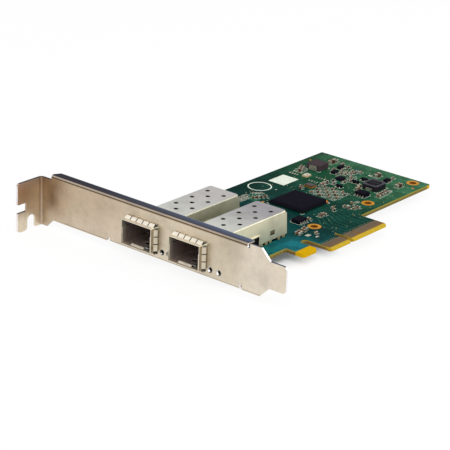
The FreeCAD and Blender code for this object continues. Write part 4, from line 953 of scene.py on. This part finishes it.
def make_camera():
    """Camera at the fitted place: it looks down on the outer face of the bracket."""
    back = Vector((math.sin(AZIMUTH) * math.cos(ELEVATION), -math.cos(AZIMUTH) * math.cos(ELEVATION),
                   math.sin(ELEVATION)))
    right = (-back).cross(Vector((0, 0, 1))).normalized()
    up = right.cross(-back)
    turned_right = math.cos(ROLL) * right + math.sin(ROLL) * up
    turned_up = -math.sin(ROLL) * right + math.cos(ROLL) * up
    data = bpy.data.cameras.new("camera")
    data.sensor_width = SENSOR
    data.lens = LENS
    data.clip_end = 10.0
    camera = bpy.data.objects.new("camera", data)
    bpy.context.scene.collection.objects.link(camera)
    rotation = Matrix((turned_right, turned_up, back)).transposed().to_4x4()
    camera.matrix_world = Matrix.Translation(at(*CAMERA_PLACE)) @ rotation
    bpy.context.scene.camera = camera


def floor_paper():
    """White paper that glows for the camera and in reflections, keeps the shadow and is clear from below."""
    look = Surface("floor_paper")
    grey = look.ramp(look.noise(4.0, vector=look.stretched((1, 1, 1))), [(0.3, 0.88), (0.7, 0.90)])
    for key, value in (("Base Color", grey), ("Roughness", 0.9), ("Specular IOR Level", 0.2)):
        look.put(look.shader, key, value)
    beneath = look.both(look.inside(look.x, *PATCH_X), look.inside(look.y, *PATCH_Y))
    glow_share = look.both(look.seen_directly(), look.maths("SUBTRACT", GLOW, look.both(beneath, PATCH_DROP)))
    glow = look.add("ShaderNodeEmission", {"Strength": 1.0}).outputs["Emission"]
    paper = look.add("ShaderNodeMixShader", {0: glow_share, 1: look.shader.outputs["BSDF"], 2: glow})
    behind = look.add("ShaderNodeNewGeometry").outputs["Backfacing"]
    clear = look.add("ShaderNodeBsdfTransparent").outputs["BSDF"]
    shown = look.add("ShaderNodeMixShader", {0: behind, 1: paper.outputs["Shader"], 2: clear})
    look.put(look.output, "Surface", shown.outputs["Shader"])
    return look.material


def make_floor():
    """Plain pale floor just under the card."""
    mesh = bpy.data.meshes.new("floor")
    sides = [(x * FLOOR_HALF, y * FLOOR_HALF, 0) for x, y in ((-1, -1), (1, -1), (1, 1), (-1, 1))]
    mesh.from_pydata(sides, [], [(0, 1, 2, 3)])
    floor = bpy.data.objects.new("floor", mesh)
    floor.location.z = cad_low[2] - FLOOR_GAP
    bpy.context.scene.collection.objects.link(floor)
    floor.data.materials.append(floor_paper())
    floor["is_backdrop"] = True


def area_light(name, place, size, power):
    """Soft square lamp that points at the middle of the card's footprint."""
    data = bpy.data.lights.new(name, "AREA")
    data.size = size
    data.energy = power
    lamp = bpy.data.objects.new(name, data)
    lamp.location = place
    lamp.rotation_euler = (-Vector(place)).to_track_quat("-Z", "Y").to_euler()
    bpy.context.scene.collection.objects.link(lamp)


def make_lights():
    """Two soft studio lamps and a white surround, dimmer as a light than as it is seen."""
    world = bpy.data.worlds.new("studio")
    bpy.context.scene.world = world
    world.use_nodes = True
    nodes = Nodes(world.node_tree)
    background = world.node_tree.nodes["Background"]
    nodes.put(background, "Color", (1, 1, 1))
    nodes.put(background, "Strength", nodes.spread(nodes.seen_directly(), 0.75, 1.0))
    area_light("key", (-0.55, -0.35, 0.75), size=0.5, power=5.0)
    area_light("fill", (0.5, -0.7, 0.5), size=0.6, power=2.5)


made = dress_nodes()
for more in (legend_ink, trace_green, bare_copper):
    made[more] = more()
make_pads(made)
make_print(made)
make_copper(made)
make_joints(made)
make_camera()
make_floor()
make_lights()

bpy.context.scene.view_settings.view_transform = "Standard"
